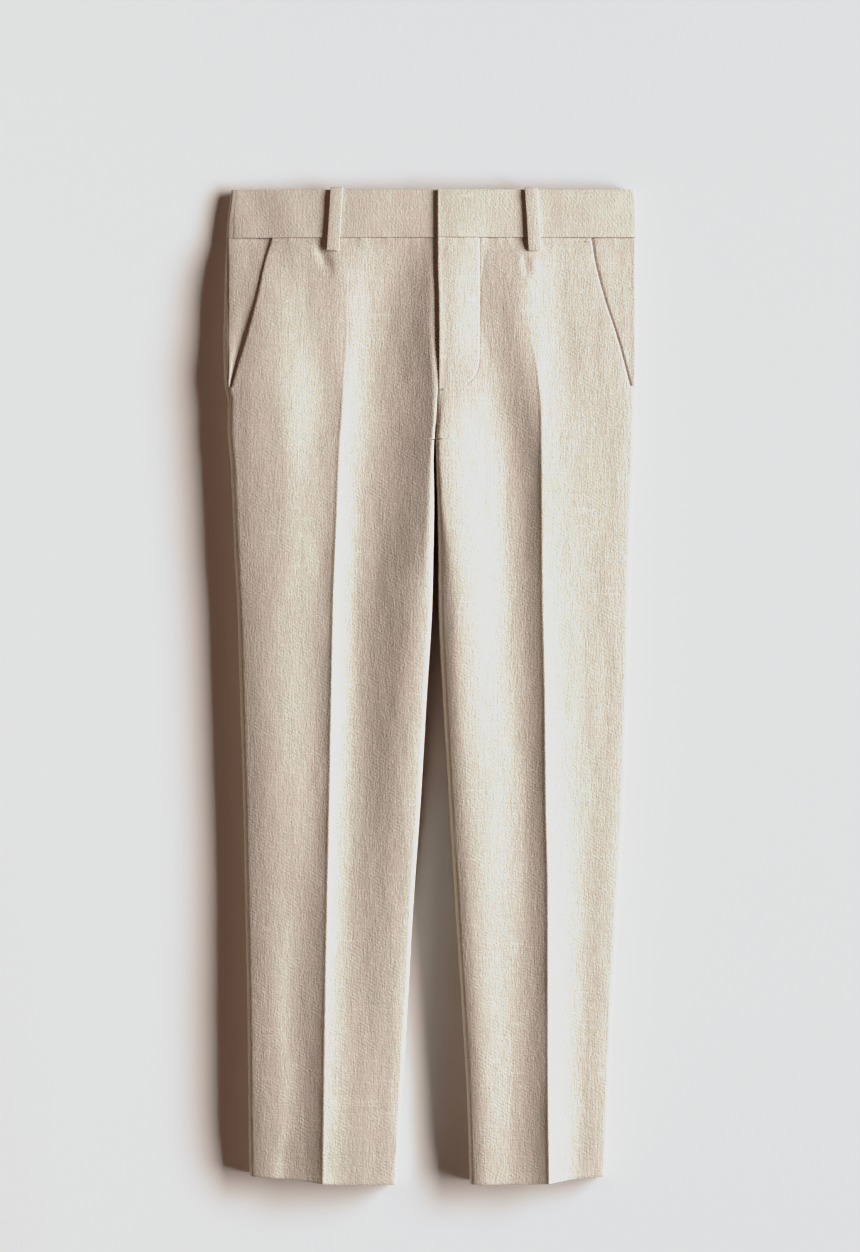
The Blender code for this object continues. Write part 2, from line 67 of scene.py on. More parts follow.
# ---- sizes; the shells are thinner than the solids, which keep 1.1 and 0.9 ------
CLOTH = 0.75
BAND = 1.5
FACING = 0.5
LOOP = 1.4
SEAM_GAP = 0.3
LAP_GAP = 0.45
BAND_HEIGHT = 34.0
BAND_PROUD = 0.8
BAND_LIFT = 1.9
FLY_LIFT = 2.0
UNDERLAP = 15.0
UNDERLAP_FADE = (84.0, 100.0)
LIFT_FADE = (100.0, 142.0)
HEM_TAPER = 0.13            # how much lower the legs lie at the hems
FLY_END = 141.0
POCKET_END = 139.0
CROTCH = 175.4
HEM = 694.6
HEM_RISE = 5.2
TOP_Y = 346.45
MIDDLE_X = 0.07
BACK_ROLL = 6.5
SIDE_SEAM_UP = {"right": 33.0, "left": 9.0}
LOOP_WIDTH = 8.8
LOOP_END = 43.4
LOOP_TOP = -1.7
LOOP_STAND = 2.6
SIDE = {"right": -1.0, "left": 1.0}

# millimetres of the object for each pixel of the photograph's frame
PHOTO_SCALE = 0.70
PHOTO_MIDDLE = 429.75
PHOTO_TOP = 189.5

OUTLINE = {
    "right": [
        (0, 139.8, -3.0), (7, 140.5, -3.0), (21, 142.3, -3.0), (49, 143.6, -3.0),
        (77, 144.4, -3.0), (105, 145.0, -3.0), (133, 144.4, -3.0), (140, 143.6, -3.0),
        (147, 141.8, -3.0), (161, 142.0, -2.8), (175.4, 141.6, -2.7), (189, 140.2, -2.4),
        (217, 138.8, -2.9), (252, 137.4, -2.3), (287, 135.4, -1.6), (357, 133.2, 2.6),
        (427, 131.1, 6.8), (497, 129.7, 11.8), (567, 128.3, 15.9), (637, 127.6, 20.1),
        (695, 126.8, 23.2),
    ],
    "left": [
        (0, 143.2, 3.3), (7, 144.2, 3.3), (21, 144.6, 3.3), (49, 144.7, 3.3),
        (77, 144.8, 3.3), (105, 144.8, 3.3), (133, 144.6, 3.3), (140, 144.5, 3.3),
        (147, 144.3, 3.3), (161, 144.1, 3.3), (175.4, 143.9, 3.3), (189, 143.5, 3.5),
        (217, 142.3, 4.4), (252, 140.9, 5.1), (287, 140.1, 5.3), (357, 138.6, 8.6),
        (427, 136.2, 12.8), (497, 132.1, 17.0), (567, 128.4, 21.5), (637, 125.6, 25.5),
        (695, 123.6, 27.4),
    ],
}

RELIEF_COLUMNS = (
    "down widest roll_width roll_z low_s low_z crease_s crease_z "
    "dip_s dip_z rise_s rise_z"
).split()
RELIEF = {
    "right": [
        (0, 3.6, 4.0, 5.6, 98, 7.4, 58, 8.2, 28, 8.6, 2.0, 8.6),
        (34, 5.2, 6.0, 9.2, 91, 10.7, 58, 11.4, 26, 11.2, 1.0, 12.4),
        (49, 6.0, 13, 13.2, 91, 13.6, 58, 14.6, 26, 12.0, 0.5, 14.8),
        (77, 7.0, 20, 16.6, 82, 14.8, 58.5, 15.4, 31, 11.6, -0.2, 16.6),
        (105, 7.5, 23, 17.0, 76, 14.0, 58.8, 14.2, 35, 10.5, -0.3, 17.0),
        (133, 8.0, 26, 18.5, 72, 13.5, 60.7, 13.8, 38, 10.0, -1.6, 17.0),
        (161, 8.0, 24, 18.2, 73, 14.2, 62.1, 14.8, 39, 10.5, -2.6, 18.0),
        (175, 8.0, 23, 18.3, 76, 15.0, 63.2, 15.6, 40, 11.5, -1.0, 19.5),
        (217, 8.0, 25, 18.6, 76, 16.6, 64.9, 17.4, 46, 13.0, 1.6, 21.0),
        (252, 8.0, 24, 18.6, 77, 16.6, 66.3, 17.8, 47, 12.8, 3.4, 21.5),
        (287, 8.0, 24, 18.3, 80, 17.0, 67.7, 18.4, 50, 13.8, 6.2, 21.5),
        (357, 8.0, 24, 18.1, 83, 16.6, 69.1, 18.6, 52, 13.9, 12.4, 20.5),
        (427, 8.0, 25, 18.0, 83, 17.2, 70.5, 19.2, 53, 15.0, 17.3, 20.0),
        (497, 7.5, 21, 17.5, 95, 17.4, 71.9, 20.4, 56, 16.4, 22.2, 19.6),
        (567, 7.0, 20, 18.0, 97, 17.4, 73.3, 21.2, 56, 18.0, 26.4, 19.4),
        (637, 6.5, 18, 18.0, 98, 17.7, 74.2, 22.0, 56, 19.4, 31.0, 19.4),
        (695, 6.0, 17, 17.0, 104, 16.6, 75.0, 22.2, 56, 19.6, 34.0, 19.0),
    ],
    "left": [
        (0, 5.3, 3.0, 8.6, 112, 8.6, 68, 8.6, 42, 8.6, 9.0, 8.6),
        (34, 6.0, 4.0, 11.0, 109, 11.2, 67, 11.8, 39, 11.2, 11.0, 12.4),
        (49, 6.3, 7, 12.8, 102, 13.4, 66.7, 15.4, 37, 13.4, 11.4, 14.6),
        (77, 7.0, 8, 13.6, 100, 14.0, 66.0, 17.0, 35, 13.9, 11.4, 15.9),
        (105, 7.5, 8, 14.4, 97, 14.4, 70.2, 17.2, 37.5, 14.1, 11.4, 16.2),
        (133, 8.0, 8, 14.7, 100, 14.7, 75.1, 17.2, 47, 14.0, 11.4, 16.6),
        (161, 8.0, 8.5, 15.0, 111, 14.9, 77.2, 17.2, 51, 12.6, 7.0, 18.6),
        (175, 8.0, 8.5, 15.2, 115, 15.2, 77.2, 17.6, 53, 12.8, 5.8, 20.0),
        (217, 8.0, 8.5, 15.5, 117, 15.5, 77.4, 18.4, 56, 13.7, 8.0, 22.0),
        (252, 8.0, 8.5, 16.0, 118, 16.0, 77.6, 19.4, 57, 15.0, 13.4, 22.5),
        (287, 8.0, 8.5, 16.2, 118, 16.2, 77.9, 20.0, 57, 16.0, 18.0, 22.8),
        (357, 8.0, 8.5, 16.6, 116, 16.6, 79.3, 21.2, 59, 17.2, 20.4, 22.8),
        (427, 8.0, 8, 16.6, 114, 16.6, 80.0, 22.0, 63, 18.4, 25.4, 22.4),
        (497, 8.0, 8, 16.6, 112, 16.6, 81.4, 22.6, 62, 19.0, 29.4, 22.2),
        (567, 7.5, 7.5, 16.6, 110, 16.6, 81.4, 22.8, 60, 19.0, 33.0, 21.6),
        (637, 7.0, 7, 16.2, 108, 16.2, 81.6, 22.8, 57, 18.4, 37.2, 20.4),
        (695, 6.5, 6.5, 15.7, 106, 15.7, 82.4, 22.3, 55, 17.4, 38.0, 19.0),
    ],
}

# How the slopes between those points are shared out (2 is steepest at that end, 0 is level),
# and the outer side: a steep edge this wide, then a slope this wide and this high.
SLOPE_COLUMNS = "down dip_steep crease_steep rise_steep edge_width slope_width slope_rise".split()
SLOPES = {
    "right": [
        (0, 0.0, 2.0, 0.0, 1.8, 8, 0.4), (34, 0.0, 2.0, 1.2, 2.2, 22, 2.0),
        (49, 0.0, 2.0, 1.2, 3.2, 27, 3.0), (91, 0.0, 2.0, 1.3, 4.2, 34, 4.4),
        (133, 0.0, 2.0, 1.6, 4.4, 34, 3.5), (175, 0.0, 2.0, 1.6, 4.2, 36, 3.4),
        (217, 0.0, 2.0, 1.6, 4.0, 36, 3.6), (252, 0.0, 2.0, 0.8, 3.8, 34, 3.8),
        (287, 0.0, 2.0, 0.0, 3.6, 28, 4.0), (427, 0.0, 2.0, 0.0, 3.4, 26, 3.8),
        (497, 0.0, 2.0, 0.0, 3.4, 24, 3.2), (567, 0.0, 2.0, 0.0, 3.4, 22, 3.0),
        (637, 0.0, 2.0, 0.0, 3.2, 22, 3.0), (695, 0.0, 2.0, 0.0, 3.0, 18, 2.4),
    ],
    "left": [
        (0, 0.0, 2.0, 0.0, 1.4, 8, 0.2), (34, 2.0, 0.0, 0.0, 1.6, 8, 0.3),
        (60, 1.6, 0.1, 0.0, 2.2, 12, 0.5), (91, 0.8, 0.2, 0.0, 2.4, 14, 0.6),
        (120, 0.4, 0.3, 0.0, 2.6, 14, 0.7), (147, 0.2, 0.5, 0.0, 2.8, 14, 0.8),
        (189, 0.0, 1.7, 0.0, 3.0, 14, 0.8), (210, 0.0, 2.0, 0.0, 3.0, 14, 0.8),
        (695, 0.0, 2.0, 0.0, 3.4, 12, 0.8),
    ],
}

CENTRE = [
    (0, 4.9, 8.6, 0.0), (34, 4.9, 12.5, 0.0), (49, 4.9, 14.7, 0.0), (77, 5.6, 16.2, 0.0),
    (105, 5.8, 16.5, 0.0), (141, 5.4, 16.8, 0.0), (146, 4.8, 16.9, 0.0),
    (161, 4.2, 17.0, 0.5), (170, 3.5, 14.5, 4.0), (175.4, 3.0, 9.6, 9.2),
]
INSEAM = [(175.4, 9.4), (357, 9.4), (497, 8.8), (637, 7.8), (695, 7.2)]
UNDERSIDE = [(0, 1.8), (34, 1.8), (34.2, 2.6), (50, 1.5), (80, 0.0), (695, 0.0)]
POCKET = {
    "right": [(34, 110.6), (49, 115.0), (77, 121.0), (105, 128.6), (133, 137.0), (139, 138.6)],
    "left": [(34, 112.0), (49, 114.2), (77, 121.2), (105, 130.2), (128, 136.4), (139, 139.2)],
}
FLY_CURVE = [(34, 34.1), (112, 34.1), (122, 33.6), (130, 31.2), (135, 27.0), (139, 21.0)]
FLY_STEP = 0.06           # the fly's layers under the front end in this step at the stitching
FRONT_LOOPS = {"right": (65.6, 68.1), "left": (70.2, 72.6)}
BACK_LOOPS = {"centre": 3.0, "right": -72.0, "left": 76.0}

# Creases and troughs placed over the main form. Each has a height in millimetres,
# a width in pixels to its left and right, and points (x, y) in the photograph's frame.
UPRIGHT_FOLDS = [
    # the tuck under the waistband beside the loop, on the wearer's right
    (-0.9, 4, 8, [(318, 239), (320, 252), (327, 272)]),
    (0.5, 6, 8, [(330, 248), (334, 262), (340, 285)]),
    # the small pull under the loop on the wearer's left
    (-0.35, 3, 5, [(523, 254), (524, 264), (526, 276)]),
    (0.25, 4, 6, [(530, 254), (532, 266), (533, 280)]),
]
LEVEL_FOLDS = []


# ---- interpolation ---------------------------------------------------------------
def monotone(px, py, x):
    """Smooth curve through the points that never swings past them."""
    px = np.asarray(px, float)
    py = np.asarray(py, float)
    step = np.diff(px)
    slope = np.diff(py) / step
    tangent = np.zeros_like(py)
    tangent[0], tangent[-1] = slope[0], slope[-1]
    for i in range(1, len(px) - 1):
        if slope[i - 1] * slope[i] > 0:
            a = 2 * step[i] + step[i - 1]
            b = step[i] + 2 * step[i - 1]
            tangent[i] = (a + b) / (a / slope[i - 1] + b / slope[i])
    x = np.clip(np.asarray(x, float), px[0], px[-1])
    i = np.clip(np.searchsorted(px, x) - 1, 0, len(step) - 1)
    return hermite(px[i], px[i + 1], py[i], py[i + 1], tangent[i], tangent[i + 1], x)


def hermite(x0, x1, y0, y1, m0, m1, x):
    h = x1 - x0
    t = np.clip((x - x0) / h, 0, 1)
    return (
        y0 * (1 + 2 * t) * (1 - t) ** 2
        + m0 * h * t * (1 - t) ** 2
        + y1 * t * t * (3 - 2 * t)
        - m1 * h * t * t * (1 - t)
    )


def column(rows, index, down):
    return monotone([row[0] for row in rows], [row[index] for row in rows], down)


def straight(rows, index, down):
    return np.interp(down, [row[0] for row in rows], [row[index] for row in rows])


def ramp(x, start, end):
    t = np.clip((np.asarray(x, float) - start) / (end - start), 0.0, 1.0)
    return t * t * (3 - 2 * t)


def noise(x, y, size_x, size_y, seed):
    """Soft value noise from -1 to 1, the same on every run."""
    rng = np.random.default_rng(seed)
    table = rng.uniform(-1, 1, (64, 64))
    u, v = np.asarray(x) / size_x + 31.7, np.asarray(y) / size_y + 17.3
    i, j = np.floor(u).astype(int), np.floor(v).astype(int)
    a, b = u - i, v - j
    a, b = a * a * (3 - 2 * a), b * b * (3 - 2 * b)
    pick = lambda p, q: table[p % 64, q % 64]
    low = pick(i, j) * (1 - a) + pick(i + 1, j) * a
    high = pick(i, j + 1) * (1 - a) + pick(i + 1, j + 1) * a
    return low * (1 - b) + high * b


# ---- the main form -----------------------------------------------------------------
class Form:
    """The outer faces of one half at an array of distances down."""

    def __init__(self, half, down):
        self.half = half
        self.down = down = np.asarray(down, float)
        self.outer = column(OUTLINE[half], 1, down)
        for index, name in enumerate(RELIEF_COLUMNS[1:], 1):
            setattr(self, name, column(RELIEF[half], index, down))
        for index, name in enumerate(SLOPE_COLUMNS[1:], 1):
            setattr(self, name, column(SLOPES[half], index, down))
        self.leg = down > CROTCH
        centre = column(CENTRE, 1, down)
        self.centre = centre * SIDE[half]
        self.inner = np.where(self.leg, column(OUTLINE[half], 2, down), self.centre)
        self.edge_z = np.where(self.leg, column(INSEAM, 1, down), column(CENTRE, 2, down))
        taper = 1 - HEM_TAPER * ramp(down, 650, 698)
        for name in ("widest", "roll_z", "low_z", "crease_z", "dip_z", "rise_z", "edge_z"):
            setattr(self, name, getattr(self, name) * taper)
        self.floor = straight(UNDERSIDE, 1, down)
        self.back_edge_z = np.where(
            self.leg, self.edge_z, self.floor + straight(CENTRE, 3, down)
        )
        self.round = ramp(down, 158, CROTCH)
        self.seam_up = SIDE_SEAM_UP[half] * (1 - ramp(down, 120, 185))

    def top(self, s):
        """The pressed crease, which is soft on the hip and sharp on the leg."""
        reach = (0.5 + 4.5 * (1 - ramp(self.down, 100, 165))) * np.exp(
            -(((s - self.crease_s) / 16.0) ** 4)
        )
        total = 0.0
        for step, share in ((-1.6, 0.11), (-0.8, 0.23), (0.0, 0.32), (0.8, 0.23), (1.6, 0.11)):
            total = total + share * self.pressed(s + step * reach)
        return total

    def pressed(self, s):
        """Height of the front's outer face at s, an array that broadcasts with down."""
        roll_end = self.outer - self.roll_width
        steep = 2 * (self.low_z - self.crease_z) / (self.low_s - self.crease_s)
        outside = hermite(self.crease_s, self.low_s, self.crease_z, self.low_z, steep, 0, s)
        mean = (self.crease_z - self.dip_z) / (self.crease_s - self.dip_s)
        inside = hermite(
            self.dip_s, self.crease_s, self.dip_z, self.crease_z,
            self.dip_steep * mean, self.crease_steep * mean, s,
        )
        mean = (self.dip_z - self.rise_z) / (self.dip_s - self.rise_s)
        rise = hermite(
            self.rise_s, self.dip_s, self.rise_z, self.dip_z,
            self.rise_steep * mean, self.dip_steep * mean * 0.5, s,
        )
        roll, flank = self.blunt(s), self.blunt(s)
        u = np.clip((s - self.inner) / (self.rise_s - self.inner), 0, 1)
        arch = np.sqrt(1 - (1 - u) ** 2)
        # a short steep edge, then a long low slope up to the rise
        near = np.clip(u / (0.15 if self.half == "right" else 0.20), 0, 1)
        steep_part = 0.91 if self.half == "right" else 0.72 + 0.08 * ramp(self.down, 300, 480)
        arch = steep_part * np.sqrt(1 - (1 - near) ** 2) + (1 - steep_part) * (1 - (1 - u) ** 2)
        soft = 0.5 - 0.5 * np.cos(math.pi * u)
        edge = self.edge_z + (self.rise_z - self.edge_z) * (soft + (arch - soft) * self.round)
        return np.select(
            [s >= roll_end, s >= self.low_s, s >= self.crease_s, s >= self.dip_s, s >= self.rise_s],
            [roll, flank, outside, inside, rise],
            edge,
        )

    def blunt(self, s):
        """The outer side of a leg: a short steep edge, then a longer low slope."""
        edge = np.clip((self.outer - s) / self.edge_width, 0, 1)
        slope = np.clip((self.outer - s) / self.slope_width, 0, 1)
        wall = self.roll_z - self.slope_rise - self.widest
        peak_s = self.outer - self.slope_width
        fall = ramp((peak_s - s) / np.maximum(peak_s - self.low_s, 4.0), 0, 1)
        return (
            self.widest + wall * np.sqrt(1 - (1 - edge) ** 2)
            + self.slope_rise * (1 - (1 - slope) ** 2)
            + (self.low_z - self.roll_z) * fall
        )

    def side(self, degrees):
        """(s, z) on the side roll: 0 at the widest point, 90 on top, -90 beneath."""
        angle = np.radians(degrees)
        below = degrees < 0
        wide = np.where(below, np.minimum(BACK_ROLL, 1.4 * self.roll_width), self.roll_width)
        high = np.where(below, self.widest - self.floor, self.roll_z - self.widest)
        return self.outer - wide * (1 - np.cos(angle)), self.widest + high * np.sin(angle)


def lap(half, s, lift, start, end):
    return lift * (1 - ramp(s, start, end)) if half == "left" else 0.0


def fly_step(half, s, down):
    """The fly's layers under the front end in a step along the curved stitching."""
    if half == "right":
        return 0.0
    curve = column(FLY_CURVE, 1, np.minimum(down, 139.0))
    inside = 1 - ramp(s, curve - 1.4, curve + 0.4)
    groove = 0.22 * np.exp(-(((s - curve - 0.2) / 0.65) ** 2))
    return (FLY_STEP * inside - groove) * (1 - ramp(down, 137.5, 141.0))


def turned_edge(form, s, height=0.34):
    """The folded edge of the fly stands up a little."""
    if form.half == "right":
        return 0.0
    away = np.clip(s - form.centre, 0, None)
    return height * np.exp(-away / 1.5) * (1 - ramp(form.down, 139, 146))


def front_z(form, s):
    """Height of the front's outer face, also where it runs past the centre."""
    over = form.top(s)
    if form.half == "right":
        beyond = Form("left", form.down).top(-s)
        return np.where((s < form.centre) & ~form.leg, beyond, over)
    fade = 1 - ramp(form.down, *LIFT_FADE)
    over = over + lap("left", s, FLY_LIFT * fade, 14, 54)
    return over + fly_step("left", s, form.down) + turned_edge(form, s)


# ---- small creases -----------------------------------------------------------------
def folds(x, down):
    """Height that the listed creases and the cloth's unevenness add, in millimetres."""
    px = x / PHOTO_SCALE + PHOTO_MIDDLE
    py = down / PHOTO_SCALE + PHOTO_TOP
    total = np.zeros(np.broadcast(px, py).shape)
    for height, left, right, points in UPRIGHT_FOLDS:
        ys = [p[1] for p in points]
        middle = monotone(ys, [p[0] for p in points], py)
        reach = 0.35 * (ys[-1] - ys[0])
        along = ramp(py, ys[0] - 3, ys[0] + reach) * (1 - ramp(py, ys[-1] - reach, ys[-1] + 3))
        away = np.where(px < middle, (px - middle) / left, (px - middle) / right)
        total += height * along * np.exp(-away * away)
    for height, above, below, points in LEVEL_FOLDS:
        xs = [p[0] for p in points]
        middle = monotone(xs, [p[1] for p in points], px)
        reach = 0.35 * (xs[-1] - xs[0])
        along = ramp(px, xs[0] - 3, xs[0] + reach) * (1 - ramp(px, xs[-1] - reach, xs[-1] + 3))
        away = np.where(py < middle, (py - middle) / above, (py - middle) / below)
        total += height * along * np.exp(-away * away)
    total += 0.16 * noise(x, down, 17, 60, 1) + 0.10 * noise(x, down, 8, 26, 2)
    total += 0.05 * noise(x, down, 4, 9, 3)
    return total


def pucker(x, down):
    """The small ripples that the waistband's seam draws up in the cloth below it."""
    wave = noise(x, down * 0.25, 4.5, 5, 4) + 0.5 * noise(x, down * 0.3, 2.6, 4, 5)
    return 0.22 * wave * np.exp(-np.clip(down - BAND_HEIGHT, 0, None) / 5.0)


def crease_lip(half, form, s):
    """The ironed fold stands up in a thin lip, steep on one side and long on the other."""
    away = SIDE[half] * (s - form.crease_s)
    lip = np.where(away > 0, np.exp(-away / 4.5), np.exp(-((away / 1.3) ** 2)))
    uneven = 1.0 + 0.35 * noise(s * 0, form.down, 10, 70, 12 if half == "right" else 13)
    return 0.34 * lip * uneven * ramp(form.down, 95, 150)


# ---- grids of points ---------------------------------------------------------------
def panel_rows(spacing, close=0.7):
    rows = [BAND_HEIGHT + 0.05]
    while rows[-1] < HEM:
        down = rows[-1]
        near = min(abs(down - 36), abs(down - 139.5), abs(down - CROTCH))
        step = close + (spacing - close) * float(ramp(near, 1.5, 9))
        rows.append(down + step)
    # the last rows are stretched a little so that they end on the hem, evenly
    rows = np.array(rows)
    late = rows > CROTCH + 20
    first = rows[~late][-1]
    rows[late] = first + (rows[late] - first) * (HEM - first) / (rows[-1] - first)
    return rows


def resample(s, z, start, end, middle, counts, weight=None):
    """Each row's dense curve, resampled between arc lengths, with a column kept at the middle."""
    out_s, out_z = [], []
    for i in range(len(s)):
        length = np.concatenate([[0], np.cumsum(np.hypot(np.diff(s[i]), np.diff(z[i])))])
        load = length if weight is None else np.concatenate(
            [[0], np.cumsum(np.diff(length) * 0.5 * (weight[i][1:] + weight[i][:-1]))]
        )
        at = [np.interp(v, length, load) for v in (start[i], middle[i], end[i])]
        places = np.concatenate([
            np.linspace(at[0], at[1], counts[0] + 1),
            np.linspace(at[1], at[2], counts[1] + 1)[1:],
        ])
        out_s.append(np.interp(places, load, s[i]))
        out_z.append(np.interp(places, load, z[i]))
    return np.array(out_s), np.array(out_z)


def length_at(s, z, value):
    """Arc length along each row where s falls to the value."""
    found = []
    for i in range(len(s)):
        length = np.concatenate([[0], np.cumsum(np.hypot(np.diff(s[i]), np.diff(z[i])))])
        found.append(np.interp(-value[i], -s[i], length))
    return np.array(found)


def hem_shift(form, s):
    share = ramp(form.down, 560, HEM)
    return HEM_RISE * share * ramp(s, form.crease_s - 20, form.outer)


def to_space(half, s, down, z):
    x = SIDE[half] * s + MIDDLE_X
    return np.stack(np.broadcast_arrays(x * MM, (TOP_Y - down) * MM, z * MM), axis=-1)


def normals_of(grid, up):
    across = np.gradient(grid, axis=1)
    along = np.gradient(grid, axis=0)
    normal = np.cross(across, along)
    normal /= np.linalg.norm(normal, axis=-1, keepdims=True)
    return normal * np.sign(normal[..., 2].mean()) * up


def front_grid(half, spacing, counts):
    form = Form(half, panel_rows(spacing)[:, None])
    down = form.down
    gap = SEAM_GAP / 2
    # the dense curve of each row: the side roll by angle, the middle evenly, the inner roll by angle
    angles = np.linspace(0.5, 90, 110)[None, :]
    roll_s, _ = form.side(angles + 0 * down)
    roll_z = form.blunt(roll_s)
    even = np.linspace(0, 1, 420)[None, 1:]
    roll_end = form.outer - form.roll_width
    flat_s = roll_end + (form.rise_s - roll_end) * even
    bend = np.linspace(90, 0, 70)[None, 1:]
    share = 1 - np.cos(np.radians(bend))
    if half == "right":
        last = np.where(
            down < FLY_END, form.centre - UNDERLAP * (1 - ramp(down, *UNDERLAP_FADE)) + gap,
            form.inner + gap * (1 - form.leg),
        )
    else:
        last = form.inner + gap * (1 - form.leg)
    edge_s = last + (form.rise_s - last) * share
    s = np.concatenate([roll_s, flat_s, edge_s], axis=1)
    z = np.concatenate([roll_z, front_z(form, flat_s), front_z(form, edge_s)], axis=1)
    z[:, -1] = np.where(form.leg[:, 0], (form.edge_z + gap)[:, 0], z[:, -1])
    # where each row starts: at the side seam, or at the pocket's edge
    seam_s, _ = form.side(form.seam_up + 0.8)
    seam = length_at(s, z, seam_s[:, 0])
    edge = length_at(s, z, column(POCKET[half], 1, np.minimum(down, 139.0))[:, 0])
    share = ramp(down[:, 0], 138.0, 139.6)
    start = edge + (seam - edge) * share
    crease = length_at(s, z, form.crease_s[:, 0])
    end = length_at(s, z, last[:, 0])
    weight = 1 + 2.2 * np.exp(-(((s - form.crease_s) / 3.0) ** 2))
    if half == "left":
        curve = column(FLY_CURVE, 1, np.minimum(down, 139.0))
        weight += 3.0 * np.exp(-(((s - curve) / 2.2) ** 2)) * (1 - ramp(down, 140, 150))
    s, z = resample(s, z, start, end, crease, counts, weight)
    return form, s, z


def finish_grid(half, form, s, z, up, amount=1.0):
    """Points in space, with the small creases laid on where the face looks up."""
    grid = to_space(half, s, form.down - hem_shift(form, s), z)
    normal = normals_of(grid, up)
    x = SIDE[half] * s
    height = (folds(x, form.down) + pucker(x, form.down)) * amount
    height = height + crease_lip(half, form, s)
    facing = np.clip(normal[..., 2] * up, 0, 1)
    grid = grid + normal * (height * facing * MM)[..., None]
    return grid


# ---- meshes --------------------------------------------------------------------------
def perimeter(n, m):
    """Grid indices once round, in order."""
    top = [(0, j) for j in range(m)]
    right = [(i, m - 1) for i in range(1, n)]
    bottom = [(n - 1, j) for j in range(m - 2, -1, -1)]
    left = [(i, 0) for i in range(n - 2, 0, -1)]
    return np.array(top + right + bottom + left)


def quads(first, second, third, fourth, turned):
    faces = np.stack([first, second, third, fourth], axis=-1).reshape(-1, 4)
    return faces[:, ::-1] if turned else faces


def make_object(name, points, faces, material):
    mesh = bpy.data.meshes.new(name)
    mesh.from_pydata(points.tolist(), [], [list(map(int, f)) for f in faces])
    mesh.validate()
    mesh.shade_smooth()
    mesh.materials.append(material)
    piece = bpy.data.objects.new(name, mesh)
    bpy.context.scene.collection.objects.link(piece)
    return piece


def shell(name, grid, thickness, up, material):
    """A closed wall of cloth with rounded edges. The grid is its outer face."""
    n, m, _ = grid.shape
    thick = thickness * MM
    normal = normals_of(grid, up)
    across = np.gradient(grid, axis=1)
    along = np.gradient(grid, axis=0)
    across /= np.linalg.norm(across, axis=-1, keepdims=True)
    along /= np.linalg.norm(along, axis=-1, keepdims=True)
    out = np.zeros_like(grid)
    out[0] -= along[0]
    out[-1] += along[-1]
    out[:, 0] -= across[:, 0]
    out[:, -1] += across[:, -1]
    size = np.linalg.norm(out, axis=-1, keepdims=True)
    out = np.where(size > 0, out / np.maximum(size, 1e-9), 0)
    inset = min(0.42 * thick, 0.24 * MM)
    outer = grid - out * inset
    inner = grid - out * inset - normal * thick
    ring = perimeter(n, m)
    i, j = ring[:, 0], ring[:, 1]
    loops = []
    for inward, deep in ((0.3, 0.16), (0.0, 0.5), (0.3, 0.84)):
        loops.append(grid[i, j] - out[i, j] * inward * inset - normal[i, j] * deep * thick)
    points = np.concatenate([outer.reshape(-1, 3), inner.reshape(-1, 3), *loops])
    index = np.arange(n * m).reshape(n, m)
    a, b, c, d = index[:-1, :-1], index[:-1, 1:], index[1:, 1:], index[1:, :-1]
    test = np.cross(grid[0, 1] - grid[0, 0], grid[1, 0] - grid[0, 0])
    turned = bool(np.dot(test, normal[0, 0]) < 0)
    faces = [quads(a, b, c, d, turned), quads(a + n * m, b + n * m, c + n * m, d + n * m, not turned)]
    rims = [index[i, j]]
    for k in range(3):
        rims.append(2 * n * m + k * len(ring) + np.arange(len(ring)))
    rims.append(index[i, j] + n * m)
    for upper, lower in zip(rims, rims[1:]):
        faces.append(quads(upper, lower, np.roll(lower, -1), np.roll(upper, -1), turned))
    return make_object(name, points, np.concatenate(faces), material)


# ---- cloth -------------------------------------------------------------------------
def node(tree, kind, **values):
    made = tree.nodes.new(kind)
    for key, value in values.items():
        setattr(made, key, value)
    return made


def math_node(tree, operation, a, b=None, c=None, clamp=False):
    made = node(tree, "ShaderNodeMath", operation=operation, use_clamp=clamp)
    for socket, value in zip(made.inputs, (a, b, c)):
        if value is None:
            continue
        if isinstance(value, (int, float)):
            socket.default_value = value
        else:
            tree.links.new(value, socket)
    return made.outputs[0]


def stretched_noise(tree, vector, scale, detail, seed):
    mapping = node(tree, "ShaderNodeMapping")
    mapping.inputs["Scale"].default_value = scale
    mapping.inputs["Location"].default_value = (seed * 1.7, seed * 0.9, seed * 2.3)
    tree.links.new(vector, mapping.inputs["Vector"])
    made = node(tree, "ShaderNodeTexNoise")
    made.inputs["Scale"].default_value = 1.0
    made.inputs["Detail"].default_value = detail
    made.inputs["Roughness"].default_value = 0.6
    tree.links.new(mapping.outputs[0], made.inputs["Vector"])
    return made.outputs["Fac"]


def ranged(tree, value, low, high, to_low, to_high):
    made = node(tree, "ShaderNodeMapRange", clamp=True)
    for key, number in (
        ("From Min", low), ("From Max", high), ("To Min", to_low), ("To Max", to_high),
    ):
        made.inputs[key].default_value = number
    tree.links.new(value, made.inputs["Value"])
    return made.outputs[0]


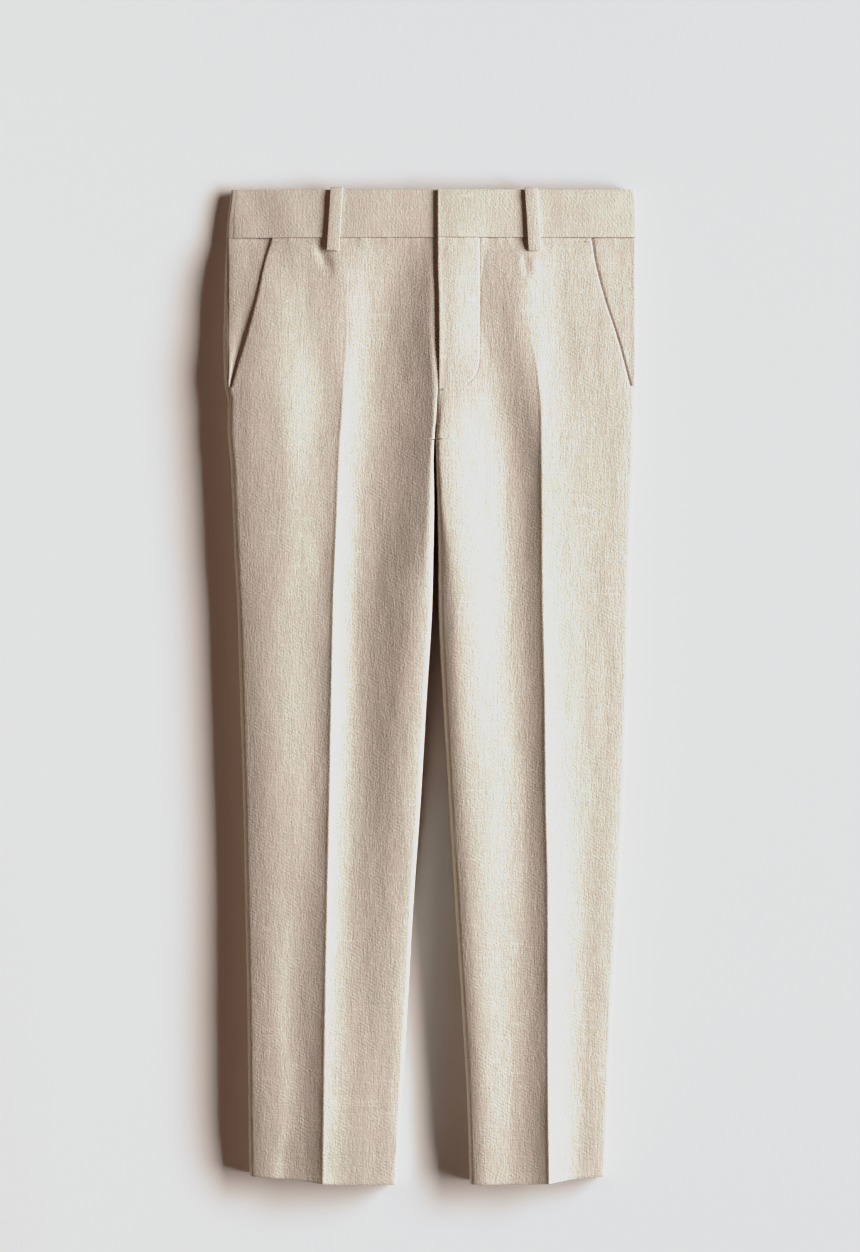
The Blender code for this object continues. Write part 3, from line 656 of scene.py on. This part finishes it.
def linen(name, light=1.0, along_x=False, twill=0.6, lines=1.0):
    """Linen-look twill: uneven threads both ways, slubs, a diagonal rib and soft mottling."""
    material = bpy.data.materials.new(name)
    material.use_nodes = True
    tree = material.node_tree
    shader = tree.nodes["Principled BSDF"]
    place = node(tree, "ShaderNodeTexCoord")
    scaled = node(tree, "ShaderNodeVectorMath", operation="SCALE")
    scaled.inputs["Scale"].default_value = 1000.0
    tree.links.new(place.outputs["Object"], scaled.inputs[0])
    vector = scaled.outputs[0]
    # threads along and across, cell sizes per millimetre, and the grain between them
    weft = stretched_noise(tree, vector, (0.20, 0.95, 0.8), 1.0, 1)
    warp = stretched_noise(tree, vector, (0.95, 0.17, 0.8), 1.0, 2)
    fine = stretched_noise(tree, vector, (0.85, 0.85, 0.85), 1.0, 3)
    long_x = stretched_noise(tree, vector, (0.045, 0.50, 0.40), 1.0, 8)
    long_y = stretched_noise(tree, vector, (0.50, 0.035, 0.40), 1.0, 9)
    mottle = stretched_noise(tree, vector, (0.16, 0.11, 0.16), 3.0, 4)
    patch = stretched_noise(tree, vector, (0.075, 0.055, 0.07), 2.0, 10)
    broad = stretched_noise(tree, vector, (0.022, 0.012, 0.02), 2.0, 5)
    slub = ranged(tree, stretched_noise(tree, vector, (0.05, 0.5, 0.3), 0.0, 6), 0.70, 0.80, 0, 1)
    tilt = node(tree, "ShaderNodeMapping")
    tilt.inputs["Rotation"].default_value = (0, 0, math.radians(-58 if not along_x else -38))
    tree.links.new(vector, tilt.inputs["Vector"])
    wave = node(tree, "ShaderNodeTexWave", wave_type="BANDS", bands_direction="X")
    wave.inputs["Scale"].default_value = 0.135
    wave.inputs["Distortion"].default_value = 1.2
    wave.inputs["Detail"].default_value = 1.0
    wave.inputs["Detail Scale"].default_value = 1.5
    tree.links.new(tilt.outputs[0], wave.inputs["Vector"])
    # the diagonal rib shows in patches
    rib = math_node(
        tree, "MULTIPLY", math_node(tree, "SUBTRACT", wave.outputs["Fac"], 0.5),
        ranged(tree, patch, 0.44, 0.60, 0.15, 1.0),
    )

    def centred(value, amount):
        return math_node(tree, "MULTIPLY_ADD", value, amount, -0.5 * amount)

    total = centred(weft, 0.16 * lines)
    for part in (
        centred(warp, 0.14 * lines), centred(fine, 0.16), centred(mottle, 0.12),
        centred(long_x, 0.13 * lines), centred(long_y, 0.11 * lines),
        math_node(tree, "MULTIPLY", rib, 0.05 * twill), math_node(tree, "MULTIPLY", slub, 0.09),
    ):
        total = math_node(tree, "ADD", total, part)
    value = math_node(tree, "ADD", total, 1.0)
    tint = node(tree, "ShaderNodeMix", data_type="RGBA")
    # light scales the cloth's colour: below 1 it is painted shade, above 1 a painted highlight
    tint.inputs["A"].default_value = (0.562 * light, 0.516 * light, 0.474 * light, 1)
    tint.inputs["B"].default_value = (0.548 * light, 0.525 * light, 0.472 * light, 1)
    shade = math_node(tree, "ADD", math_node(tree, "MULTIPLY", broad, 0.6), math_node(tree, "MULTIPLY", patch, 0.4))
    tree.links.new(ranged(tree, shade, 0.40, 0.60, 0, 1), tint.inputs["Factor"])
    colour = node(tree, "ShaderNodeVectorMath", operation="SCALE")
    tree.links.new(tint.outputs["Result"], colour.inputs[0])
    tree.links.new(value, colour.inputs["Scale"])
    tree.links.new(colour.outputs[0], shader.inputs["Base Color"])
    height = math_node(tree, "MULTIPLY", weft, 0.75 * lines)
    for part, amount in ((warp, 0.75 * lines), (fine, 0.8), (long_x, 0.35), (long_y, 0.35), (rib, 0.28 * twill)):
        height = math_node(tree, "ADD", height, math_node(tree, "MULTIPLY", part, amount))
    bump = node(tree, "ShaderNodeBump")
    bump.inputs["Strength"].default_value = 1.0
    bump.inputs["Distance"].default_value = 0.00025
    tree.links.new(height, bump.inputs["Height"])
    tree.links.new(bump.outputs[0], shader.inputs["Normal"])
    tree.links.new(ranged(tree, mottle, 0.2, 0.8, 0.78, 0.92), shader.inputs["Roughness"])
    shader.inputs["Specular IOR Level"].default_value = 0.25
    shader.inputs["Sheen Weight"].default_value = 0.12
    shader.inputs["Sheen Roughness"].default_value = 0.5
    shader.inputs["Sheen Tint"].default_value = (1.0, 0.97, 0.92, 1)
    return material


def thread_material(name):
    material = bpy.data.materials.new(name)
    material.use_nodes = True
    tree = material.node_tree
    shader = tree.nodes["Principled BSDF"]
    place = node(tree, "ShaderNodeTexCoord")
    twist = stretched_noise(tree, place.outputs["Object"], (2600, 2600, 2600), 1.0, 7)
    ramped = node(tree, "ShaderNodeMix", data_type="RGBA")
    ramped.inputs["A"].default_value = (0.55, 0.49, 0.43, 1)
    ramped.inputs["B"].default_value = (0.60, 0.54, 0.47, 1)
    tree.links.new(twist, ramped.inputs["Factor"])
    tree.links.new(ramped.outputs["Result"], shader.inputs["Base Color"])
    bump = node(tree, "ShaderNodeBump")
    bump.inputs["Strength"].default_value = 0.5
    bump.inputs["Distance"].default_value = 0.0001
    tree.links.new(twist, bump.inputs["Height"])
    tree.links.new(bump.outputs[0], shader.inputs["Normal"])
    shader.inputs["Roughness"].default_value = 0.6
    return material


PANEL_CLOTH = linen("linen_twill_panel")
# the back, facing and loop cloths are copies of the one linen made a little darker or lighter: painted shade on the
# back and facings that lie under the front, a painted highlight on the loops that stand on top
BACK_CLOTH = linen("linen_twill_back_painted_shade", light=0.98)
FACING_CLOTH = linen("linen_twill_facing_painted_shade", light=0.97)
BAND_CLOTH = linen("linen_twill_band", along_x=True, twill=0.45, lines=0.8)
LOOP_CLOTH = linen("linen_twill_loop_painted_highlight", light=1.01, twill=0.8, lines=0.8)
THREAD = thread_material("stitching_thread")


def keep(piece, node_name):
    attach(piece, "root")
    if node_name:
        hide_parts(node_name)
    return piece


def build_front(half):
    counts = (50, 58) if half == "right" else (50, 60)
    form, s, z = front_grid(half, 1.85, counts)
    grid = finish_grid(half, form, s, z, 1)
    piece = shell("cloth_front_" + half, grid, CLOTH, 1, PANEL_CLOTH)
    keep(piece, "front_" + half)


def build_back(half):
    rows = panel_rows(3.2, 1.4)
    form = Form(half, rows[:, None])
    gap = SEAM_GAP / 2
    share = np.linspace(0, 1, 40)[None, :]
    degrees = (form.seam_up - 0.8) + (-90 - (form.seam_up - 0.8)) * share
    roll_s, roll_z = form.side(degrees)
    roll_z = np.where(degrees >= 0, form.blunt(roll_s), roll_z)
    flat_end = form.inner + BACK_ROLL
    flat_s = roll_s[:, -1:] + (flat_end - roll_s[:, -1:]) * np.linspace(0, 1, 120)[None, 1:]
    flat_z = form.floor + 0 * flat_s
    bend = np.radians(np.linspace(-90, 0, 30)[None, 1:])
    side_gap = gap * (1 - form.leg)
    edge_s = form.inner + side_gap + BACK_ROLL * (1 - np.cos(bend))
    edge_z = form.floor + (form.back_edge_z - form.floor) * (1 + np.sin(bend))
    edge_z[:, -1] = np.where(form.leg[:, 0], edge_z[:, -1] - gap, edge_z[:, -1])
    s = np.concatenate([roll_s, flat_s, edge_s], axis=1)
    z = np.concatenate([roll_z, flat_z, edge_z], axis=1)
    length = [float(v) for v in np.hypot(np.diff(s), np.diff(z)).sum(axis=1)]
    start = np.zeros(len(rows))
    end = np.array(length)
    weight = 1 + 2.0 * (s > form.outer - 14) + 1.0 * (s < form.inner + 8)
    s, z = resample(s, z, start, end, end * 0.5, (36, 34), weight)
    grid = to_space(half, s, form.down - hem_shift(form, s), z)
    piece = shell("cloth_back_" + half, grid, CLOTH, -1, BACK_CLOTH)
    keep(piece, "back_" + half)


def build_pocket_facing(half):
    rows = panel_rows(1.6)
    rows = rows[rows < 139.7]
    form = Form(half, rows[:, None])
    opening = column(POCKET[half], 1, form.down)
    start, start_z = form.side(form.seam_up + 0.8)
    room = start - opening
    # the opening gapes a little more towards its lower end on the wearer's right
    depth = CLOTH + LAP_GAP + (0.5 if half == "right" else 0.0) * ramp(form.down, 70, 110)
    share = np.linspace(0, 1, 44)[None, :]
    s = start - (room + 7.0) * share
    away = start - s
    reach = np.minimum(16.0, 0.85 * room) if half == "right" else np.minimum(7.0, 0.8 * room)
    sunk = ramp(away / reach, 0.0, 1.0)
    if half == "right":
        sunk = depth * sunk
    else:
        # it stays nearly level with the front, and dips close before the opening's edge
        sunk = 0.4 * sunk + (depth - 0.4) * ramp((away - room + 2.1) / 1.9, 0.0, 1.0)
    z = front_z(form, s) if half == "right" else form.top(s)
    slope = np.gradient(z, axis=1) / np.gradient(s, axis=1)
    size = np.hypot(slope, 1)
    s = s + slope / size * sunk
    z = z - sunk / size
    grid = finish_grid(half, form, s, z, 1)
    piece = shell("cloth_pocket_facing_" + half, grid, CLOTH, 1, FACING_CLOTH)
    keep(piece, "pocket_facing_" + half)


def build_fly_facing():
    rows = panel_rows(2.0)
    rows = rows[rows < 138.5]
    form = Form("left", rows[:, None])
    curve = column(FLY_CURVE, 1, form.down)
    start = form.centre + SEAM_GAP / 2 + 0.1
    s = start + (curve - 0.8 - start) * np.linspace(0, 1, 18)[None, :]
    z = front_z(form, s) - CLOTH - 0.36
    grid = finish_grid("left", form, s, z, 1)
    piece = shell("cloth_fly_facing", grid, FACING, 1, FACING_CLOTH)
    keep(piece, "fly_facing")


def band_form(half, rows):
    return Form(half, np.asarray(rows)[:, None])


def build_band(half):
    rows = np.concatenate([[0.0, 0.5, 1.1], np.linspace(2, 32.4, 22), [33.1, 33.6, BAND_HEIGHT]])
    form = band_form(half, rows)
    gap = SEAM_GAP / 2
    start = form.centre - UNDERLAP if half == "right" else form.centre
    roll_end = form.outer - form.roll_width
    front_s = start + (roll_end - start) * np.linspace(0, 1, 400)[None, :]
    if half == "right":
        under = Form("left", form.down).top(-front_s)
        front = np.where(front_s < form.centre, under, form.top(front_s))
    else:
        front = form.top(front_s) + lap(half, front_s, BAND_LIFT, 14, 64)
        front = front + turned_edge(form, front_s, 0.25)
    front = front + BAND_PROUD
    up_s, up_z = form.side(np.linspace(90, 0, 30)[None, 1:] + 0 * form.down)
    up_z = form.blunt(up_s)
    up_z = up_z + BAND_PROUD * (up_z - form.widest) / (form.roll_z - form.widest)
    low_s, low_z = form.side(np.linspace(0, -90, 30)[None, 1:] - 1e-6 + 0 * form.down)
    end_s = form.centre + gap
    back_s = low_s[:, -1:] + (end_s - low_s[:, -1:]) * np.linspace(0, 1, 80)[None, 1:]
    s = np.concatenate([front_s, up_s, low_s, back_s], axis=1)
    z = np.concatenate([front, up_z, low_z, form.floor + 0 * back_s], axis=1)
    length = np.hypot(np.diff(s), np.diff(z)).sum(axis=1)
    zero = 0 * length
    middle = length * 0.55
    weight = 1 + 1.5 * (s > form.outer - 9) + 0.8 * (np.abs(s - start) < 4)
    s, z = resample(s, z, zero, length, middle, (130, 60), weight)
    grid = to_space(half, s, form.down, z)
    normal = normals_of(grid, 1)
    upward = np.clip(grid[..., 2] / MM - form.widest, 0, 2) / 2
    x = SIDE[half] * s
    soft = 0.20 * noise(x, form.down, 26, 22, 8) + 0.10 * noise(x, form.down, 9, 12, 9)
    # the cloth swells a little between the seam and the top edge
    swell = 0.35 * np.sin(np.pi * np.clip(form.down / BAND_HEIGHT, 0, 1)) ** 0.6
    grid = grid + np.array([0, 0, 1.0]) * ((soft + swell) * upward * MM)[..., None]
    piece = shell_band("cloth_waistband_" + half, grid, half)
    keep(piece, "waistband_" + half)


def shell_band(name, grid, half):
    """The waistband runs over and under, so its outward side is found at its first point."""
    across = np.gradient(grid, axis=1)
    along = np.gradient(grid, axis=0)
    first = np.cross(across, along)[:, 5, 2].mean()
    total = np.cross(across, along)
    total /= np.linalg.norm(total, axis=-1, keepdims=True)
    up = 1.0 if first * total[..., 2].mean() > 0 else -1.0
    return shell(name, grid, BAND, up, BAND_CLOTH)


def strip(name, path, width, thickness, material):
    """A folded strip with soft edges along a path of (centre, side, out) frames."""
    profile = []
    half_w, half_t = width / 2, thickness / 2
    corner = half_t * 0.55
    for cx, cz, first in (
        (half_w - corner, half_t - corner, 0), (-half_w + corner, half_t - corner, 90),
        (-half_w + corner, -half_t + corner, 180), (half_w - corner, -half_t + corner, 270),
    ):
        for step in range(6):
            angle = math.radians(first + 18 * step)
            profile.append((cx + corner * math.cos(angle), cz + corner * math.sin(angle)))
        if first == 0:
            # the face between the edges, sunk a little beside each fold
            for share in np.linspace(0.12, 0.88, 12):
                u = (half_w - corner) * (1 - 2 * share)
                side = min(share, 1 - share)
                sink = 0.10 * math.exp(-(((side - 0.17) / 0.07) ** 2))
                profile.append((u, half_t - sink))
    profile = np.array(profile)
    points, count = [], len(profile)
    for centre, side, out in path:
        for a, b in profile:
            points.append(centre + side * a + out * b)
    n = len(path)
    faces = []
    for i in range(n - 1):
        for j in range(count):
            k = (j + 1) % count
            faces.append((i * count + j, i * count + k, (i + 1) * count + k, (i + 1) * count + j))
    mesh_points = np.array(points) * MM
    piece = make_object(name, mesh_points, np.array(faces), material)
    shape = bmesh.new()
    shape.from_mesh(piece.data)
    for base in (0, (n - 1) * count):
        shape.verts.ensure_lookup_table()
        ring = [shape.verts[base + j] for j in range(count)]
        middle = sum((v.co for v in ring), Vector()) / count
        centre = shape.verts.new(middle)
        for j in range(count):
            shape.faces.new((ring[j], ring[(j + 1) % count], centre))
    bmesh.ops.recalc_face_normals(shape, faces=shape.faces[:])
    shape.to_mesh(piece.data)
    shape.free()
    piece.data.shade_smooth()
    return piece


def frames_along(points, side):
    points = np.array(points, float)
    tangent = np.gradient(points, axis=0)
    tangent /= np.linalg.norm(tangent, axis=1, keepdims=True)
    side = np.array(side, float)
    frames_out = []
    for p, t in zip(points, tangent):
        s = side - t * np.dot(side, t)
        s /= np.linalg.norm(s)
        out = np.cross(s, t)
        frames_out.append((p, s, out))
    return frames_out


def build_front_loop(half):
    """Over the band's top edge, down its face and onto the front below the seam."""
    s_top, s_low = FRONT_LOOPS[half]
    stations = np.array([0, 3, 8, 17, 26, 31, 34, 37, 40, LOOP_END], float)
    stand = np.array([2.0, 2.4, 2.6, 2.6, 2.6, 2.5, 2.3, 1.9, 1.5, 1.0])
    downs = np.linspace(0.6, LOOP_END, 60)
    middle = s_top + (s_low - s_top) * downs / LOOP_END
    form = Form(half, downs)
    z = form.top(middle) + BAND_PROUD + monotone(stations, stand, downs)
    z = z + (folds(SIDE[half] * middle, downs) * ramp(downs, 34, 40))
    z = z - LOOP / 2
    x = SIDE[half] * middle + MIDDLE_X
    points = [(a, TOP_Y - d, h) for a, d, h in zip(x, downs, z)]
    top = points[0]
    turn = []
    for angle in np.linspace(90, 0, 9)[:-1]:
        a = math.radians(angle)
        turn.append((top[0], top[1] + 1.6 * math.sin(a) , top[2] - 2.2 * (1 - math.cos(a))))
    drop = [(top[0], top[1] + 1.6, top[2] - 2.2 - 0.5 * k) for k in (2, 1)]
    line = drop + turn + points
    across = (SIDE[half] * 1.0, -(s_low - s_top) * 0.0, 0.0)
    frames_list = frames_along(line, (1.0, 0.0, 0.0))
    # the strip's lower end comes down close to the front below the seam
    piece = strip("cloth_belt_loop_front_" + half, frames_list, LOOP_WIDTH, LOOP, LOOP_CLOTH)
    keep(piece, "belt_loop_front_" + half)


def build_back_loop(name, x):
    line = [(x, TOP_Y - d, 0.7) for d in np.linspace(0.2, LOOP_END, 34)]
    piece = strip(
        "cloth_belt_loop_back_" + name, frames_along(line, (-1.0, 0.0, 0.0)), LOOP_WIDTH,
        LOOP * 0.98, LOOP_CLOTH,
    )
    keep(piece, "belt_loop_back_" + name)


# ---- stitching -------------------------------------------------------------------------
def surface_z(half, s, down):
    """Height of the finished front at single places."""
    s, down = np.atleast_1d(s).astype(float), np.atleast_1d(down).astype(float)
    form = Form(half, down)
    x = SIDE[half] * s
    return front_z(form, s) + folds(x, down) + pucker(x, down)


def stitches(name, runs, width=0.42, height=0.34, length=2.1, gap=0.75):
    """Short raised stitches along lines of (half, s, down) points on the fronts."""
    points, faces = [], []
    for half, line in runs:
        line = np.array(line, float)
        steps = np.hypot(*np.diff(line, axis=0).T)
        travel = np.concatenate([[0], np.cumsum(steps)])
        at = 0.3
        while at + length < travel[-1]:
            ends = [np.array([np.interp(v, travel, line[:, k]) for k in (0, 1)]) for v in
                    np.linspace(at, at + length, 5)]
            base = len(points)
            direction = ends[-1] - ends[0]
            direction /= np.linalg.norm(direction)
            across = np.array([-direction[1], direction[0]])
            for k, p in enumerate(ends):
                lift = math.sin(math.pi * (k + 0.35) / 4.7)
                z = float(surface_z(half, p[0], p[1])[0])
                for angle in range(0, 360, 60):
                    a = math.radians(angle)
                    q = p + across * (0.5 * width * math.cos(a))
                    rise = height * (0.1 + 0.9 * lift) + 0.5 * height * math.sin(a) - 0.22
                    points.append((
                        (SIDE[half] * q[0] + MIDDLE_X) * MM, (TOP_Y - q[1]) * MM, (z + rise) * MM,
                    ))
            for k in range(4):
                for a in range(6):
                    b = (a + 1) % 6
                    faces.append((base + 6 * k + a, base + 6 * k + b, base + 6 * k + 6 + b, base + 6 * k + 6 + a))
            faces.append(tuple(base + a for a in range(5, -1, -1)))
            faces.append(tuple(base + 24 + a for a in range(6)))
            at += length + gap
    mesh = bpy.data.meshes.new(name)
    mesh.from_pydata(points, [], faces)
    shape = bmesh.new()
    shape.from_mesh(mesh)
    bmesh.ops.recalc_face_normals(shape, faces=shape.faces[:])
    shape.to_mesh(mesh)
    shape.free()
    mesh.shade_smooth()
    mesh.materials.append(THREAD)
    piece = bpy.data.objects.new(name, mesh)
    bpy.context.scene.collection.objects.link(piece)
    return keep(piece, None)


def zigzag(middle, along, across, length, width, turns):
    """A bartack's thread, back and forth across its bar."""
    points = []
    for k in range(turns + 1):
        share = k / turns - 0.5
        side = 0.5 if k % 2 else -0.5
        points.append((
            middle[0] + along[0] * share * length + across[0] * side * width,
            middle[1] + along[1] * share * length + across[1] * side * width,
        ))
    return points


build_front("right")
build_front("left")
build_back("right")
build_back("left")
build_pocket_facing("right")
build_pocket_facing("left")
build_fly_facing()
build_band("right")
build_band("left")
build_front_loop("right")
build_front_loop("left")
for loop_name, loop_x in BACK_LOOPS.items():
    build_back_loop(loop_name, loop_x)

fly_downs = np.linspace(36.0, 139.0, 120)
fly_line = [(float(column(FLY_CURVE, 1, d)) - 1.0, d) for d in fly_downs]
fly_line += [(21.0 - 1.0 - k * 2.6, 139.0 + 1.9 * k / (k + 1.2)) for k in range(1, 6)]
stitches("stitching_fly", [("left", fly_line)], width=0.34, height=0.22)
stitches(
    "stitching_bartacks",
    [
        ("right", zigzag((107.6, 37.2), (1, 0.1), (0, 1), 4.0, 1.4, 12)),
        ("right", zigzag((136.8, 138.2), (0.75, 0.66), (-0.66, 0.75), 4.6, 1.5, 14)),
        ("left", zigzag((109.4, 37.0), (1, 0.1), (0, 1), 4.0, 1.4, 12)),
        ("left", zigzag((8.2, 140.6), (1, 0.0), (0, 1), 3.4, 1.3, 12)),
    ],
    width=0.4, height=0.34, length=1.3, gap=0.12,
)


# ---- floor, light and camera -----------------------------------------------------------
KEY_AZIMUTH = 6.0           # degrees from +X towards +Y
KEY_ELEVATION = 24.5
KEY_DISTANCE = 2.3          # metres
KEY_WIDTH = 3.0             # the lamp is long beside the legs, and low
KEY_HEIGHT = 0.95
KEY_POWER = 190.0
FILL_POWER = 7.0
SKY_STRENGTH = 0.031
FLOOR_GRADE = 2.4 * math.cos(math.radians(KEY_ELEVATION)) / KEY_DISTANCE


def build_floor():
    mesh = bpy.data.meshes.new("floor")
    reach = 4.0
    mesh.from_pydata(
        [(-reach, -reach, 0), (reach, -reach, 0), (reach, reach, 0), (-reach, reach, 0)],
        [], [(0, 1, 2, 3)],
    )
    floor = bpy.data.objects.new("floor", mesh)
    bpy.context.scene.collection.objects.link(floor)
    material = bpy.data.materials.new("studio_paper")
    material.use_nodes = True
    tree = material.node_tree
    shader = tree.nodes["Principled BSDF"]
    place = node(tree, "ShaderNodeTexCoord")
    grain = stretched_noise(tree, place.outputs["Object"], (3, 3, 3), 2.0, 11)
    tint = node(tree, "ShaderNodeMix", data_type="RGBA")
    tint.inputs["A"].default_value = (0.735, 0.737, 0.745, 1)
    tint.inputs["B"].default_value = (0.742, 0.744, 0.752, 1)
    tree.links.new(grain, tint.inputs["Factor"])
    # the paper is graded, darker towards the lamp, so that it looks evenly lit
    split = node(tree, "ShaderNodeSeparateXYZ")
    tree.links.new(place.outputs["Object"], split.inputs[0])
    toward_lamp = math_node(
        tree, "ADD",
        math_node(tree, "MULTIPLY", split.outputs["X"], math.cos(math.radians(KEY_AZIMUTH))),
        math_node(tree, "MULTIPLY", split.outputs["Y"], 0.8 * math.sin(math.radians(KEY_AZIMUTH))),
    )
    grade = math_node(tree, "POWER", math.e, math_node(tree, "MULTIPLY", toward_lamp, -FLOOR_GRADE))
    grade = ranged(tree, grade, 0.55, 1.30, 0.55, 1.30)
    graded = node(tree, "ShaderNodeVectorMath", operation="SCALE")
    tree.links.new(tint.outputs["Result"], graded.inputs[0])
    tree.links.new(grade, graded.inputs["Scale"])
    tree.links.new(graded.outputs[0], shader.inputs["Base Color"])
    shader.inputs["Roughness"].default_value = 0.95
    shader.inputs["Specular IOR Level"].default_value = 0.1
    mesh.materials.append(material)
    return floor


build_floor()

key_data = bpy.data.lights.new("key", "AREA")
key_data.energy = KEY_POWER
key_data.shape = "ELLIPSE"
key_data.size = KEY_WIDTH
key_data.size_y = KEY_HEIGHT
key_data.color = (0.945, 1.0, 1.003)
key = bpy.data.objects.new("key", key_data)
toward = Vector((
    math.cos(math.radians(KEY_ELEVATION)) * math.cos(math.radians(KEY_AZIMUTH)),
    math.cos(math.radians(KEY_ELEVATION)) * math.sin(math.radians(KEY_AZIMUTH)),
    math.sin(math.radians(KEY_ELEVATION)),
))
key.rotation_euler = toward.to_track_quat("Z", "Y").to_euler()
key.location = toward * KEY_DISTANCE
bpy.context.scene.collection.objects.link(key)

# a weak warm light from the other side, as a wall would send back
fill_data = bpy.data.lights.new("fill", "AREA")
fill_data.energy = FILL_POWER
fill_data.shape = "DISK"
fill_data.size = 1.6
fill_data.color = (1.0, 0.80, 0.63)
fill = bpy.data.objects.new("fill", fill_data)
away = Vector((-0.92, -0.08, 0.38)).normalized()
fill.rotation_euler = away.to_track_quat("Z", "Y").to_euler()
fill.location = away * 1.9
bpy.context.scene.collection.objects.link(fill)

world = bpy.data.worlds.new("studio")
bpy.context.scene.world = world
world.use_nodes = True
sky = world.node_tree.nodes["Background"]
sky.inputs["Color"].default_value = (1.0, 0.81, 0.64, 1)
sky.inputs["Strength"].default_value = SKY_STRENGTH

CAMERA_HEIGHT = 2.0
camera_data = bpy.data.cameras.new("camera")
camera_data.sensor_width = 36.0
camera_data.sensor_fit = "AUTO"
camera_data.lens = 1.002 * 36.0 * (CAMERA_HEIGHT - 0.010) / (1252 * PHOTO_SCALE * MM)
camera_data.clip_start = 0.05
camera = bpy.data.objects.new("camera", camera_data)
camera.location = (-0.00035, 0.0412, CAMERA_HEIGHT)
camera.rotation_euler = (0, 0, 0)
bpy.context.scene.collection.objects.link(camera)
bpy.context.scene.camera = camera

# a film-like shoulder: straight to the cloth's own tone, then easing off above it
view = bpy.context.scene.view_settings
view.view_transform = "Standard"
view.look = "None"
view.use_curve_mapping = True
mapping = view.curve_mapping
mapping.white_level = (2.0, 2.0, 2.0)
curve = mapping.curves[3]
curve.points[0].location = (0.0, 0.0)
curve.points[1].location = (1.0, 0.80)
for shoulder in (
    (0.10, 0.205), (0.20, 0.385), (0.30, 0.545), (0.36, 0.632), (0.40, 0.684), (0.43, 0.717),
    (0.46, 0.739), (0.5, 0.754), (0.65, 0.775),
):
    curve.points.new(*shoulder)
# darker tones turn warmer, as they do in the photograph
for channel, tones in (
    (1, ((0.05, 0.036), (0.09, 0.076), (0.20, 0.161), (0.33, 0.282), (0.39, 0.355), (0.48, 0.477), (0.55, 0.577),
         (0.63, 0.655), (0.74, 0.744))),
    (2, ((0.045, 0.028), (0.08, 0.060), (0.18, 0.130), (0.28, 0.210), (0.34, 0.271), (0.42, 0.392), (0.48, 0.490),
         (0.56, 0.580), (0.65, 0.650), (0.74, 0.745))),
):
    for tone in tones:
        mapping.curves[channel].points.new(*tone)
mapping.update()
